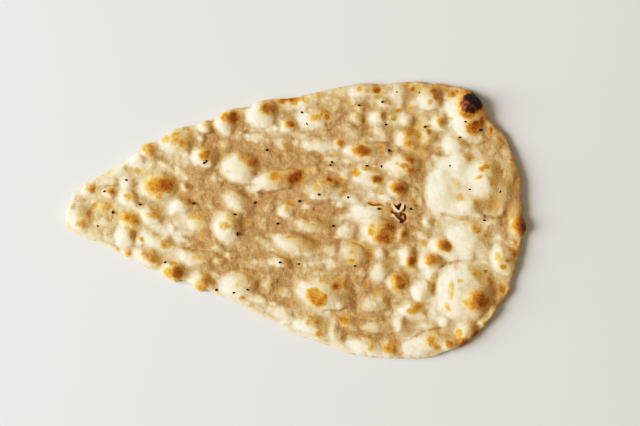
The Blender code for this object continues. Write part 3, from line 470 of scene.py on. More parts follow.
def sample(field, points):
    """A field of the working sheet at layout points, straight between its cells."""
    x = np.clip((points[:, 0] - LOW_U) / CELL, 0, len(us) - 1.001)
    y = np.clip((points[:, 1] - LOW_V) / CELL, 0, len(vs) - 1.001)
    xi, yi = x.astype(int), y.astype(int)
    xf, yf = x - xi, y - yi
    return (
        field[yi, xi] * (1 - xf) * (1 - yf)
        + field[yi, xi + 1] * xf * (1 - yf)
        + field[yi + 1, xi] * (1 - xf) * yf
        + field[yi + 1, xi + 1] * xf * yf
    )


edge = edge_field(outline, 22.0)
rng = np.random.default_rng(7)

# ---------------------------------------------------------------- relief
bend_u = 1.6 * noise(U, V, 17, 11) + 0.5 * noise(U, V, 6.5, 12)
bend_v = 1.6 * noise(U, V, 17, 13) + 0.5 * noise(U, V, 6.5, 14)


def soft_max(a, b, k):
    gap = np.maximum(k - np.abs(a - b), 0) / k
    return np.maximum(a, b) + gap * gap * k / 4


def add_blister(cu, cv, long_half, wide_half, turn, height, named=True):
    """A blister: low ones are bell-shaped swellings, tall ones full, and large ones flatter on top, all with a soft skirt."""
    large = float(smooth(8, 22, min(long_half, wide_half)))
    tall = float(smooth(2.0, 6.5, height)) if named else 0.0
    power = 1.58 - 0.44 * tall - 0.12 * large
    spread = 1.26 - 0.12 * tall - 0.06 * large if named else 1.1
    w = window(cu, cv, max(long_half, wide_half) * spread * 1.7 + 4)
    c, s = math.cos(math.radians(turn)), math.sin(math.radians(turn))
    pu, pv = U[w] + bend_u[w] - cu, V[w] + bend_v[w] - cv
    q = np.hypot((pu * c + pv * s) / long_half, (pv * c - pu * s) / wide_half) / spread
    if named:
        pu = pu + LEAN * math.hypot(long_half * c, wide_half * s) * spread * np.clip(1 - q * q, 0, 1)
        q = np.hypot((pu * c + pv * s) / long_half, (pv * c - pu * s) / wide_half) / spread
    cap = height * (0.80 * np.clip(1 - q * q, 0, 1) ** power + 0.20 * np.exp(-1.9 * q * q)) - 0.06 * height * smooth(1.0, 1.6, q)
    domes[w] = soft_max(domes[w], cap, min(2.2, height * 0.5))
    # Paler dough over the blister, its middle shifted toward the light on the left as a painted highlight.
    left = np.hypot((pu * c + pv * s) / long_half + 0.18 * c - 0.13 * s, (pv * c - pu * s) / wide_half - 0.18 * s - 0.13 * c) / spread
    stretched_and_lit[w] = np.maximum(stretched_and_lit[w], smooth(1.50, 0.50, left) * float(smooth(0.3, 5.5, height)))
    # Painted shade: the foot of the blister away from the light, painted golden later.
    lee = smooth(-0.1, 0.8, (0.80 * pu - 0.60 * pv) / (np.hypot(pu, pv) + 1e-6)) * float(smooth(1.8, 5.0, height))
    painted_shade_far_flank[w] = np.maximum(painted_shade_far_flank[w], np.exp(-(((q - 0.72) / 0.24) ** 2)) * lee)


domes = np.zeros(U.shape)
stretched_and_lit = np.zeros(U.shape)  # where the dough is stretched pale over a blister, shifted to the left, toward the light, as a painted highlight
painted_shade_far_flank = np.zeros(U.shape)  # painted golden shade on the upper right foot of each blister
for cu, cv, long_half, wide_half, turn, height in BLISTERS:
    add_blister(cu, cv, long_half, wide_half, turn, height * DOME_HEIGHT)

# Small blisters that fill the dough between the named ones.
small = 0
while small < 26:
    cu, cv = rng.uniform(LOW_U + 10, HIGH_U - 10), rng.uniform(LOW_V + 10, HIGH_V - 10)
    j, i = int((cv - LOW_V) / CELL), int((cu - LOW_U) / CELL)
    if edge[j, i] < 3.5 or domes[j, i] > 1.6:
        continue
    size = rng.uniform(4.0, 7.5)
    add_blister(cu, cv, size * rng.uniform(1.1, 1.8), size, rng.uniform(-15, 35), rng.uniform(0.5, 1.1) * size / 4.2, named=False)
    small += 1

grooves = np.zeros(U.shape)
steps = np.zeros(U.shape)
for depth, half, rise, reach, *run in FOLDS:
    gap, side, along = run_distance(run, reach * 2.2)
    gap = gap + 0.35 * noise(U, V, 5, 21)
    fade = smooth(0, 0.16, along) * smooth(1, 0.84, along)
    grooves = np.maximum(grooves, 0.5 * depth * fade * np.exp(-((gap / (1.85 * half)) ** 2)))
    hill = np.exp(-np.clip(gap, 0, None) / reach) - math.exp(-2.2)
    steps += rise * fade * np.clip(hill, 0, None) * np.where(side > 0, 1.0, -0.35)

slow = 0.55 * noise(U, V, 55, 31) + 0.45 * noise(U, V, 24, 32)
calm = smooth(1.0, 6.0, domes)  # the tops of large blisters are stretched smooth
wide_cell, wide_chance = cobbles(U + 1.8 * bend_u, V + 1.8 * bend_v, 13.0, 44)
small_cell, small_chance = cobbles(U + bend_v, V + bend_u, 5.4, 45, 1.25, -8.0)
puff = (
    0.85 * noise(U + bend_u, V + bend_v, 19.0, 46)
    + 0.50 * noise(U + bend_u, V + bend_v, 10.0, 41)
    + 0.12 * noise(U + bend_v, V + bend_u, 5.0, 42)
    + 0.95 * (wide_cell * (0.20 + 0.80 * wide_chance) - 0.35)
    + 0.26 * (small_cell * small_chance - 0.3)
)
puff = blur(puff, 0.9)
rim = RIM_SWELL * np.exp(-(((edge - 6.0) / 5.5) ** 2)) * (1 + 0.8 * noise(U, V, 22, 33))
height = SHEET + slow + rim + domes + steps + puff * (1 - 0.66 * calm) - grooves

# The slit, and the torn blister: holes with thin lips that stand up round them.
slit_gap, _, slit_along = run_distance(SLIT, 6.0)
slit_gap = slit_gap + 0.2 * noise(U, V, 2.2, 51)
slit_width = 0.15 + 0.55 * np.sin(np.pi * np.clip(slit_along, 0, 1))
in_slit = smooth(slit_width + 0.45, slit_width - 0.25, slit_gap)
height -= in_slit * 2.2

HOLE_A = ((394.4, 203.8), (397.4, 205.4), (400.0, 203.6), (402.0, 203.0), (401.8, 205.4), (400.2, 208.2), (398.5, 210.0), (396.4, 207.4))
HOLE_B = (
    (395.4, 214.4), (399.0, 214.6), (402.6, 212.8), (405.8, 213.2), (407.2, 216.6), (406.6, 220.8), (403.4, 222.8),
    (399.8, 222.4), (400.4, 220.2), (397.4, 217.8),
)  # fmt: skip
# Curled flaps and torn lips: rise, half width, run.
FLAPS = (
    (1.5, 0.85, (392.6, 204.6), (395.4, 208.0), (398.6, 211.2)),
    (1.9, 1.1, (404.0, 204.4), (403.6, 207.6), (401.6, 210.2), (398.6, 211.5)),
    (0.9, 0.8, (393.0, 214.4), (396.2, 217.8), (400.0, 221.0)),
    (0.8, 0.8, (369.0, 206.4), (376.0, 206.9), (384.0, 206.2)),
)
CRACKS = (
    (1.8, 0.75, (391.0, 211.0), (394.6, 213.0), (399.4, 213.5), (403.8, 212.0)),
    (0.6, 0.7, (404.6, 205.0), (405.2, 208.5), (404.0, 212.0)),
    (0.5, 0.7, (388.0, 222.5), (389.2, 225.0), (388.8, 227.0)),
)


def hole_field(ring):
    ring = closed_curve(ring, 0.7)
    w = window(*ring.mean(axis=0), 14)
    gap = np.full(U.shape, -9.0)
    pu, pv = U[w], V[w]
    near = np.full(pu.shape, 9.0)
    for a, b in zip(ring, np.roll(ring, -1, axis=0)):
        d = b - a
        t = np.clip(((pu - a[0]) * d[0] + (pv - a[1]) * d[1]) / max(float(d @ d), 1e-9), 0, 1)
        near = np.minimum(near, np.hypot(pu - a[0] - t * d[0], pv - a[1] - t * d[1]))
    gap[w] = np.where(inside_of(ring)[w], near, -near)
    return gap


hole_a, hole_b = hole_field(HOLE_A), hole_field(HOLE_B)
hole = np.maximum(hole_a, hole_b)
in_hole = smooth(-0.2, 0.9, hole)
lump = np.exp(-(((U - 403.8) / 2.2) ** 2 + ((V - 217.4) / 2.6) ** 2)) + 0.7 * np.exp(-(((U - 398.6) / 2.4) ** 2 + ((V - 216.4) / 1.4) ** 2))
floor_in_hole = 3.9 + 0.4 * noise(U, V, 2.4, 53) + 2.4 * lump
height = height * (1 - in_hole) + floor_in_hole * in_hole
for rise, half, *run in FLAPS:
    gap, _, along = run_distance(run, 5.0)
    height += rise * np.exp(-(((gap + 0.15 * noise(U, V, 2.0, 54)) / half) ** 2)) * smooth(-0.05, 0.15, along) * smooth(1.1, 0.9, along)
cracked = np.zeros(U.shape)
for depth, half, *run in CRACKS:
    gap, _, along = run_distance(run, 5.0)
    cut = np.exp(-((gap / half) ** 2)) * smooth(0, 0.2, along) * smooth(1, 0.8, along)
    height -= depth * cut
    cracked = np.maximum(cracked, cut)

height = np.maximum(height, 2.0)

# ---------------------------------------------------------------- browning
freckle_u = 1.3 * noise(U, V, 6.5, 61) + 0.85 * noise(U, V, 3.0, 62)
freckle_v = 1.3 * noise(U, V, 6.5, 63) + 0.85 * noise(U, V, 3.0, 64)
toast_and_shade = np.zeros(U.shape)
for cu, cv, a, b, turn, brown in SPOTS:
    w = window(cu, cv, max(a, b) * 2.0 + 3)
    c, s = math.cos(math.radians(turn)), math.sin(math.radians(turn))
    wob = min(1.0, min(a, b) / 5.0)
    pu, pv = U[w] + freckle_u[w] * wob - cu, V[w] + freckle_v[w] * wob - cv
    q = np.hypot((pu * c + pv * s) / a, (pv * c - pu * s) / b)
    toast_and_shade[w] = np.maximum(toast_and_shade[w], brown * (smooth(1.52, 0.28, q) if brown < 0.92 else smooth(1.25, 0.72, q)))
    toast_and_shade[w] = np.maximum(toast_and_shade[w], 0.22 * wob * float(smooth(0.40, 0.62, np.float64(brown))) * smooth(1.9, 0.9, q))

# A faint gold over the tops of blisters and the rim, in uneven patches, and in the listed areas of gold, which are
# partly real crust and partly painted shade.
broad = blur(height, 9.0)
proud = height - broad
patch = smooth(-0.1, 0.9, noise(U, V, 20, 71) + 0.35 * noise(U, V, 7, 72))
golden_and_shade = np.zeros(U.shape)
for cu, cv, a, b, much in GOLD_AND_SHADE_AREAS:
    golden_and_shade = np.maximum(golden_and_shade, much * np.exp(-(((U + 2 * bend_u - cu) / a) ** 2 + ((V + 2 * bend_v - cv) / b) ** 2)))
gold_and_shade = 0.16 * patch * smooth(-0.6, 3.0, proud)
gold_and_shade = np.maximum(gold_and_shade, golden_and_shade * (0.75 + 0.55 * noise(U, V, 8, 74)))


def rise_away(a):
    """How steeply a field rises away from the lower left."""
    down, right = np.gradient(a, CELL)
    return 0.88 * right - 0.47 * down


# Painted light: slopes that face the light from the lower left are painted paler as highlight, and slopes facing away
# are painted golden as shade.
rising = rise_away(blur(domes + puff, 1.0))
painted_highlight_left = smooth(0.05, 0.75, rising)
painted_shade_right = smooth(0.0, 0.45, -rising)
painted_highlight_far = smooth(-0.14, 0.20, rise_away(blur(domes + 0.5 * puff, 3.5)))
# Painted shade: gold on slopes facing away from the light and on the upper right foot of each blister.
gold_and_shade = np.maximum(gold_and_shade, (0.25 + 0.12 * noise(U, V, 11, 76)) * painted_shade_right)
gold_and_shade = np.maximum(gold_and_shade, (0.20 + 0.14 * noise(U, V, 9, 78)) * painted_shade_far_flank)
gold_and_shade = np.maximum(gold_and_shade, 0.30 * smooth(345, 318, V) * smooth(8.0, 1.0, edge) * smooth(-0.3, 0.8, noise(U, V, 15, 73)))
gold_and_shade = np.maximum(gold_and_shade, 0.46 * smooth(2.2, 0.4, edge) * smooth(0.0, 0.7, noise(U, V, 9, 75)))
gold_and_shade = np.maximum(gold_and_shade, 0.62 * smooth(3.4, 0.8, edge) * smooth(0.15, 0.75, noise(U, V, 3.6, 77)) * smooth(380, 470, U))
# The browning then carries the painted golden shade as well.
toast_and_shade = np.maximum(toast_and_shade, gold_and_shade)

# Valleys hold the damp, see-through dough: strongest in the middle of the left half, weak at the wide end.
dip = height - blur(height, 4.5)
hollow = np.clip(0.55 * smooth(1.2, -1.0, proud) + 0.70 * smooth(0.35, -0.45, dip), 0, 1) * (1 - 0.6 * stretched_and_lit)
where = 0.42 + 0.40 * np.exp(-(((U - 285) / 110) ** 2 + ((V - 215) / 85) ** 2))
wide_end = smooth(405, 450, U)
wetter = np.zeros(U.shape)
for cu, cv, a, b, much in DAMP_AREAS:
    wetter += much * np.exp(-(((U + 2 * bend_u - cu) / a) ** 2 + ((V + 2 * bend_v - cv) / b) ** 2))
wetter = np.clip(wetter, -1, 1)
damp = hollow * np.clip(where + 0.7 * wetter, 0, 1.2) * (1.1 + 0.5 * noise(U, V, 16, 81)) + 0.46 * np.clip(wetter, 0, 1)
damp = np.clip(damp, 0, 1)
# Painted shade in the creases.
painted_crease_shade = np.clip(grooves / 0.95, 0, 1)
# Pale dough over blisters and bumps, with painted highlight on slopes facing the light and less on slopes facing away
# as painted shade.
crown_and_highlight = blur(stretched_and_lit, 0.8) * (0.56 - 0.26 * patch) + 0.26 * painted_highlight_left + 0.44 * painted_highlight_far - 0.28 * painted_shade_right + 0.26 * smooth(-0.1, 0.7, dip)
crown_and_highlight = crown_and_highlight - 0.6 * wetter + 0.18 * noise(U, V, 13, 82) + 0.14 * noise(U, V, 28, 83)
# Small lumps in the valleys are paler than the seams round them.
lumps = (blur(small_cell * smooth(0.30, 0.85, small_chance), 0.5) - 0.22) * (1 - calm)
crown_and_highlight = np.clip(crown_and_highlight + 0.34 * lumps, 0, 1)
damp = np.clip(damp - 0.34 * lumps * smooth(0.0, 0.3, damp), 0, 1)

# ---------------------------------------------------------------- the bread's mesh
middle_u = (outline[:, 0].min() + outline[:, 0].max()) / 2
middle_v = (outline[:, 1].min() + outline[:, 1].max()) / 2
box_low, box_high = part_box("naan")
centre_x, centre_y = (box_low.x + box_high.x) / 2, (box_low.y + box_high.y) / 2
floor_z = box_low.z


def place(points, z):
    """Layout points and heights in millimetres as places in the row frame."""
    return np.stack([centre_x + (points[:, 0] - middle_u) * MM, centre_y + (middle_v - points[:, 1]) * MM, floor_z + z * MM], axis=1)


def hex_grid(step, low, high):
    rows = np.arange(low[1], high[1], step * math.sqrt(3) / 2)
    return np.concatenate([
        np.stack([np.arange(low[0] + (k % 2) * step / 2, high[0], step), np.full(len(np.arange(low[0] + (k % 2) * step / 2, high[0], step)), v)], axis=1)
        for k, v in enumerate(rows)
    ])


def mid_height(points):
    """Height of the middle of the rounded edge, which varies round the bread."""
    return EDGE_MID + 0.55 * noise(points[:, 0], points[:, 1], 26, 91) + 0.25 * noise(points[:, 0], points[:, 1], 8, 92)


def top_height(points, inset):
    full = sample(height, points)
    shoulder = np.sqrt(np.clip(1 - (1 - np.clip(inset / EDGE_ROUND, 0, 1)) ** 2, 0, 1))
    mid = mid_height(points)
    return mid + (full - mid) * shoulder


pit = np.clip(noise(U, V, 13, 95) * 0.9 + noise(U, V, 5.5, 96) * 0.5 - 0.35, 0, 1) * 1.5
lift = 1.3 * smooth(0.0, 0.9, noise(U, V, 60, 97)) * smooth(26, 0, edge)


def under_height(points, inset):
    near = np.clip(inset / UNDER_ROUND, 0, 1)
    mid = mid_height(points)
    return np.maximum(mid * (1 - np.sqrt(1 - (1 - near) ** 2)), 0) + (sample(pit, points) * smooth(3, 8, inset) + sample(lift, points)) * near


def skin(step, insets, fine=None):
    """Layout points inside the outline: rings near the edge, then a triangular grid. Returns points and how far in."""
    rings = [outline + into * d for d in insets]
    deep = insets[-1] + step * 0.62
    grid = hex_grid(step, outline.min(axis=0), outline.max(axis=0))
    grid = grid + np.stack([noise(grid[:, 0], grid[:, 1], 5, 101), noise(grid[:, 0], grid[:, 1], 5, 102)], axis=1) * step * 0.12
    far_in = sample(edge, grid)
    grid, far_in = grid[far_in > deep], far_in[far_in > deep]
    for low, high, small_step in fine or ():
        keep = ~((grid > np.array(low)).all(axis=1) & (grid < np.array(high)).all(axis=1))
        extra = hex_grid(small_step, low, high)
        grid, far_in = np.vstack([grid[keep], extra]), np.concatenate([far_in[keep], sample(edge, extra)])
    points = np.vstack([*rings, grid])
    far = np.concatenate([*[np.full(len(outline), d) for d in insets], far_in])
    return points, far


def triangles(points):
    n = len(outline)
    flat = [Vector(p) for p in points]
    _, _, faces, origins, _, _ = delaunay_2d_cdt(flat, [(k, (k + 1) % n) for k in range(n)], [list(range(n))], 1, 1e-5)
    where = [o[0] for o in origins]
    return np.array([[where[k] for k in f] for f in faces])


def make_bread():
    top, top_in = skin(TOP_STEP, (0.0, 0.3, 0.9, 1.8), [((389, 199), (412, 226), FINE_STEP), ((366, 200), (385, 208.5), FINE_STEP)])
    under, under_in = skin(UNDER_STEP, (0.0, 0.25, 0.8, 1.7, 2.9))
    n = len(outline)
    faces_top, faces_under = triangles(top), triangles(under)
    z_top, z_under = top_height(top, top_in), under_height(under, under_in)

    def facing(points, faces, up):
        a, b, c = points[faces[:, 0]], points[faces[:, 1]], points[faces[:, 2]]
        turned = (b[:, 0] - a[:, 0]) * (c[:, 1] - a[:, 1]) - (b[:, 1] - a[:, 1]) * (c[:, 0] - a[:, 0])
        flip = (turned > 0) if up else (turned < 0)  # v runs down the sheet, so the sheet is mirrored in the frame
        return np.where(flip[:, None], faces[:, [0, 2, 1]], faces)

    faces_top = facing(top, faces_top, True)
    faces_under = facing(under, faces_under, False)
    shift = np.where(np.arange(len(under)) < n, np.arange(len(under)), np.arange(len(under)) + len(top) - n)
    points = np.vstack([place(top, z_top), place(under[n:], z_under[n:])])
    faces = np.vstack([faces_top, shift[faces_under]])

    mesh = bpy.data.meshes.new("naan_bread")
    mesh.vertices.add(len(points))
    mesh.vertices.foreach_set("co", points.astype(np.float32).ravel())
    mesh.loops.add(len(faces) * 3)
    mesh.loops.foreach_set("vertex_index", faces.astype(np.int32).ravel())
    mesh.polygons.add(len(faces))
    mesh.polygons.foreach_set("loop_start", np.arange(0, len(faces) * 3, 3, dtype=np.int32))
    mesh.polygons.foreach_set("use_smooth", np.ones(len(faces), bool))
    mesh.update(calc_edges=True)
    mesh.validate()

    # What the material reads: browning with painted golden shade, damp valleys, painted shade in the creases, pale
    # dough with painted highlight, the inside of the tear with painted shade in the slit and cracks, and the underside.
    low_toast = 0.62 * smooth(0.30, 0.85, noise(under[:, 0], under[:, 1], 12, 111) + 0.35 * noise(under[:, 0], under[:, 1], 5, 112))
    low_toast = np.maximum(low_toast, 0.22 * smooth(-0.2, 0.6, noise(under[:, 0], under[:, 1], 30, 113)))
    low_toast *= smooth(2.0, 7.0, under_in)
    layers = {
        "toast_and_shade": (sample(toast_and_shade, top), np.maximum(low_toast, sample(toast_and_shade, under) * smooth(3.0, 0.5, under_in))),
        "damp": (sample(damp, top) * smooth(1.0, 5.0, top_in), np.zeros(len(under))),
        "painted_crease_shade": (sample(painted_crease_shade, top), np.zeros(len(under))),
        "crown_and_highlight": (sample(crown_and_highlight, top), np.zeros(len(under))),
        "torn_and_shade": (sample(np.maximum(in_hole * (1 - 0.75 * np.clip(lump, 0, 1)), np.maximum(in_slit * 0.7, cracked * 0.8)), top), np.zeros(len(under))),
        "under": (np.zeros(len(top)), smooth(1.5, 4.0, under_in)),
    }
    for name, (above, below) in layers.items():
        values = np.concatenate([above, below[n:]]).astype(np.float32)
        mesh.attributes.new(name, "FLOAT", "POINT").data.foreach_set("value", values)

    # Two flat islands to bake to: the top with the sides, and the underside.
    span_u, span_v = np.ptp(outline[:, 0]), np.ptp(outline[:, 1])
    top_scale = min(0.97 / span_u, 0.60 / span_v)
    low_scale = min(0.97 / span_u, 0.365 / span_v)
    top_uv = np.stack([(top[:, 0] - middle_u) * top_scale + 0.5, 0.69 - (top[:, 1] - middle_v) * top_scale], axis=1)
    low_uv = np.stack([(under[:, 0] - middle_u) * low_scale + 0.5, 0.19 - (under[:, 1] - middle_v) * low_scale], axis=1)
    uv = np.vstack([top_uv[faces_top.ravel()], low_uv[faces_under.ravel()]])
    layer = mesh.uv_layers.new(name="OFBake")
    layer.data.foreach_set("uv", uv.astype(np.float32).ravel())
    return mesh


# ---------------------------------------------------------------- materials
class Nodes:
    """Short names for making a material's nodes."""

    def __init__(self, name):
        self.material = bpy.data.materials.new(name)
        self.material.use_nodes = True
        self.tree = self.material.node_tree
        self.shader = self.tree.nodes["Principled BSDF"]
        askew = self.tree.nodes.new("ShaderNodeMapping")
        askew.inputs["Rotation"].default_value = (0.55, 0.4, 0.65)
        self.tree.links.new(self.tree.nodes.new("ShaderNodeTexCoord").outputs["Object"], askew.inputs["Vector"])
        self.where = askew.outputs["Vector"]

    def new(self, kind, **settings):
        node = self.tree.nodes.new("ShaderNode" + kind)
        for key, value in settings.items():
            setattr(node, key, value)
        return node

    def link(self, value, socket):
        if isinstance(value, bpy.types.NodeSocket):
            self.tree.links.new(value, socket)
        else:
            socket.default_value = value

    def attribute(self, name):
        return self.new("Attribute", attribute_name=name).outputs["Fac"]

    def noise(self, scale, detail=3.0, rough=0.5, warp=0.0):
        node = self.new("TexNoise")
        self.link(self.where, node.inputs["Vector"])
        self.link(scale, node.inputs["Scale"])
        self.link(detail, node.inputs["Detail"])
        self.link(rough, node.inputs["Roughness"])
        self.link(warp, node.inputs["Distortion"])
        return node.outputs["Fac"]

    def warped(self, scale, reach):
        """The place, pushed about by noise of that scale, by up to about that reach in metres."""
        stir = self.new("TexNoise")
        self.link(self.where, stir.inputs["Vector"])
        self.link(scale, stir.inputs["Scale"])
        push = self.new("VectorMath", operation="MULTIPLY_ADD")
        self.link(stir.outputs["Color"], push.inputs[0])
        push.inputs[1].default_value = (reach * 2,) * 3
        self.link(self.where, push.inputs[2])
        return push.outputs["Vector"]

    def cells(self, scale, where, feature="F1"):
        node = self.new("TexVoronoi", feature=feature)
        self.link(where, node.inputs["Vector"])
        self.link(scale, node.inputs["Scale"])
        return node

    def math(self, operation, a, b=0.0, clamp=False):
        node = self.new("Math", operation=operation, use_clamp=clamp)
        self.link(a, node.inputs[0])
        self.link(b, node.inputs[1])
        return node.outputs[0]

    def span(self, value, low, high, to_low=0.0, to_high=1.0):
        node = self.new("MapRange", interpolation_type="SMOOTHSTEP")
        for key, v in zip(("Value", "From Min", "From Max", "To Min", "To Max"), (value, low, high, to_low, to_high)):
            self.link(v, node.inputs[key])
        return node.outputs["Result"]

    def ramp(self, value, *stops):
        node = self.new("ValToRGB")
        node.color_ramp.interpolation = "LINEAR"
        marks = node.color_ramp.elements
        while len(marks) < len(stops):
            marks.new(0.5)
        for mark, (at, colour) in zip(marks, stops):
            mark.position = at
            mark.color = (*colour, 1)
        self.link(value, node.inputs["Fac"])
        return node.outputs["Color"]

    def mix(self, share, a, b, blend="MIX"):
        node = self.new("Mix", data_type="RGBA", blend_type=blend)
        self.link(share, node.inputs[0])
        for value, socket in ((a, node.inputs[6]), (b, node.inputs[7])):
            self.link(value if isinstance(value, bpy.types.NodeSocket) else (*value, 1), socket)
        return node.outputs[2]

    def bump(self, height, strength, distance, normal=None):
        node = self.new("Bump")
        self.link(strength, node.inputs["Strength"])
        self.link(distance, node.inputs["Distance"])
        self.link(height, node.inputs["Height"])
        if normal is not None:
            self.link(normal, node.inputs["Normal"])
        return node.outputs["Normal"]


def srgb(r, g, b):
    return tuple((c / 255 / 12.92) if c / 255 <= 0.04045 else ((c / 255 + 0.055) / 1.055) ** 2.4 for c in (r, g, b))


def bread_material():
    n = Nodes("baked_bread")
    toast_and_shade, damp = n.attribute("toast_and_shade"), n.attribute("damp")
    painted_crease_shade, torn_and_shade, under = n.attribute("painted_crease_shade"), n.attribute("torn_and_shade"), n.attribute("under")
    crown_and_highlight = n.attribute("crown_and_highlight")

    # Dough: cream, a little warmer and cooler in soft patches, tan where it is damp and see-through.
    soft = n.noise(38, 3, 0.5)
    fine = n.noise(230, 4, 0.6)
    dough = n.mix(n.span(soft, 0.35, 0.68), srgb(215, 180, 129), srgb(196, 156, 104))
    # Pale dough over blisters, partly painted highlight on the lit slopes.
    dough = n.mix(n.math("MULTIPLY", crown_and_highlight, n.span(fine, 0.25, 0.7, 1.0, 0.66)), dough, srgb(255, 241, 208))
    speck = n.noise(760, 2, 0.6)
    dough = n.mix(n.math("MULTIPLY", n.span(speck, 0.42, 0.64, 0.0, 0.72), n.span(soft, 0.3, 0.6, 0.3, 1.0)), dough, srgb(250, 234, 202))
    wet = n.math("ADD", damp, n.math("MULTIPLY", n.math("SUBTRACT", fine, 0.5), 0.16))
    wet = n.math("ADD", wet, n.math("MULTIPLY", n.math("SUBTRACT", speck, 0.5), 0.34), clamp=True)
    dough = n.mix(n.math("MULTIPLY", wet, 0.92, clamp=True), dough, srgb(171, 133, 89))
    # Painted shade: brown in the creases.
    dough = n.mix(n.span(painted_crease_shade, 0.15, 1.0, 0.0, 0.50), dough, srgb(163, 116, 58))
    # Tiny bubbles under the skin: each a little paler or darker, with tan seams between them.
    pushed = n.warped(210, 0.0030)
    bubble = n.cells(250, pushed)
    seam = n.span(n.cells(250, pushed, "DISTANCE_TO_EDGE").outputs["Distance"], 0.0, 0.16, 1.0, 0.0)
    plain = n.math("SUBTRACT", 1.0, n.math("MULTIPLY", crown_and_highlight, 0.75))
    pale = n.span(n.noise(250, 2), 0.46, 0.66)
    dough = n.mix(n.math("MULTIPLY", n.math("MULTIPLY", seam, plain), 0.17), dough, srgb(184, 136, 76))
    dough = n.mix(n.math("MULTIPLY", n.math("MULTIPLY", pale, plain), 0.16), dough, srgb(246, 228, 190))
    low = n.mix(n.span(n.noise(70, 4, 0.55), 0.35, 0.7), srgb(240, 222, 186), srgb(226, 198, 150))
    dough = n.mix(under, dough, low)

    # Browning, with the painted golden shade mixed in: patches with darker and lighter flecks in them.
    fleck = n.noise(380, 3, 0.65)
    blot = n.noise(170, 2, 0.5)
    stir = n.math("ADD", n.math("MULTIPLY", n.math("SUBTRACT", fleck, 0.5), 0.66), n.math("MULTIPLY", n.math("SUBTRACT", blot, 0.5), 0.52))
    stir = n.math("MULTIPLY", stir, n.span(toast_and_shade, 0.08, 0.5))
    brown = n.math("ADD", toast_and_shade, stir, clamp=True)
    colour = n.ramp(
        brown,
        (0.0, srgb(228, 208, 174)),
        (0.20, srgb(227, 193, 136)),
        (0.36, srgb(220, 172, 106)),
        (0.50, srgb(204, 147, 66)),
        (0.64, srgb(186, 126, 36)),
        (0.78, srgb(168, 106, 12)),
        (0.90, srgb(134, 77, 12)),
        (0.96, srgb(98, 46, 24)),
        (1.0, srgb(60, 28, 20)),
    )
    colour = n.mix(n.math("MULTIPLY", wet, n.span(brown, 0.34, 0.66, 0.60, 0.0)), colour, srgb(178, 131, 74))
    surface = n.mix(n.span(brown, 0.02, 0.36), dough, colour)
    # The brown inside of the tear, with painted shade in the slit and cracks.
    surface = n.mix(torn_and_shade, surface, srgb(118, 66, 30))
    n.link(surface, n.shader.inputs["Base Color"])

    # Damp dough and dark crust shine a little, the floury dough doesn't.
    rough = n.math("SUBTRACT", 0.64, n.math("MULTIPLY", wet, 0.06))
    rough = n.math("SUBTRACT", rough, n.span(brown, 0.35, 0.9, 0.0, 0.20))
    rough = n.math("ADD", rough, n.math("MULTIPLY", n.math("SUBTRACT", n.noise(400, 2), 0.5), 0.22), clamp=True)
    n.link(rough, n.shader.inputs["Roughness"])

    grain = n.math("ADD", n.math("MULTIPLY", n.noise(330, 4, 0.55), 0.8), n.math("MULTIPLY", n.noise(760, 4, 0.7), 1.9))
    grain = n.math("MULTIPLY", grain, n.span(crown_and_highlight, 0.4, 1.0, 1.0, 0.8))
    grain = n.math("SUBTRACT", grain, n.math("MULTIPLY", bubble.outputs["Distance"], n.math("MULTIPLY", plain, 0.8)))
    normal = n.bump(grain, 0.85, 0.0008)
    normal = n.bump(n.noise(900, 2, 0.5), n.span(brown, 0.3, 0.7, 0.05, 0.35), 0.0003, normal)
    n.link(normal, n.shader.inputs["Normal"])
    n.shader.inputs["Specular IOR Level"].default_value = 0.36
    n.shader.inputs["Subsurface Weight"].default_value = 0.45
    n.shader.inputs["Subsurface Radius"].default_value = (1.0, 0.72, 0.28)
    n.shader.inputs["Subsurface Scale"].default_value = 0.004
    return n.material


def seed_material():
    n = Nodes("black_seed")
    shade = n.ramp(n.noise(900, 3, 0.6), (0.35, srgb(14, 12, 12)), (0.7, srgb(44, 38, 36)))
    n.link(shade, n.shader.inputs["Base Color"])
    n.link(n.span(n.noise(1400, 2), 0.3, 0.7, 0.42, 0.7), n.shader.inputs["Roughness"])
    n.link(n.bump(n.noise(1800, 3, 0.6), 0.6, 0.00025), n.shader.inputs["Normal"])
    return n.material


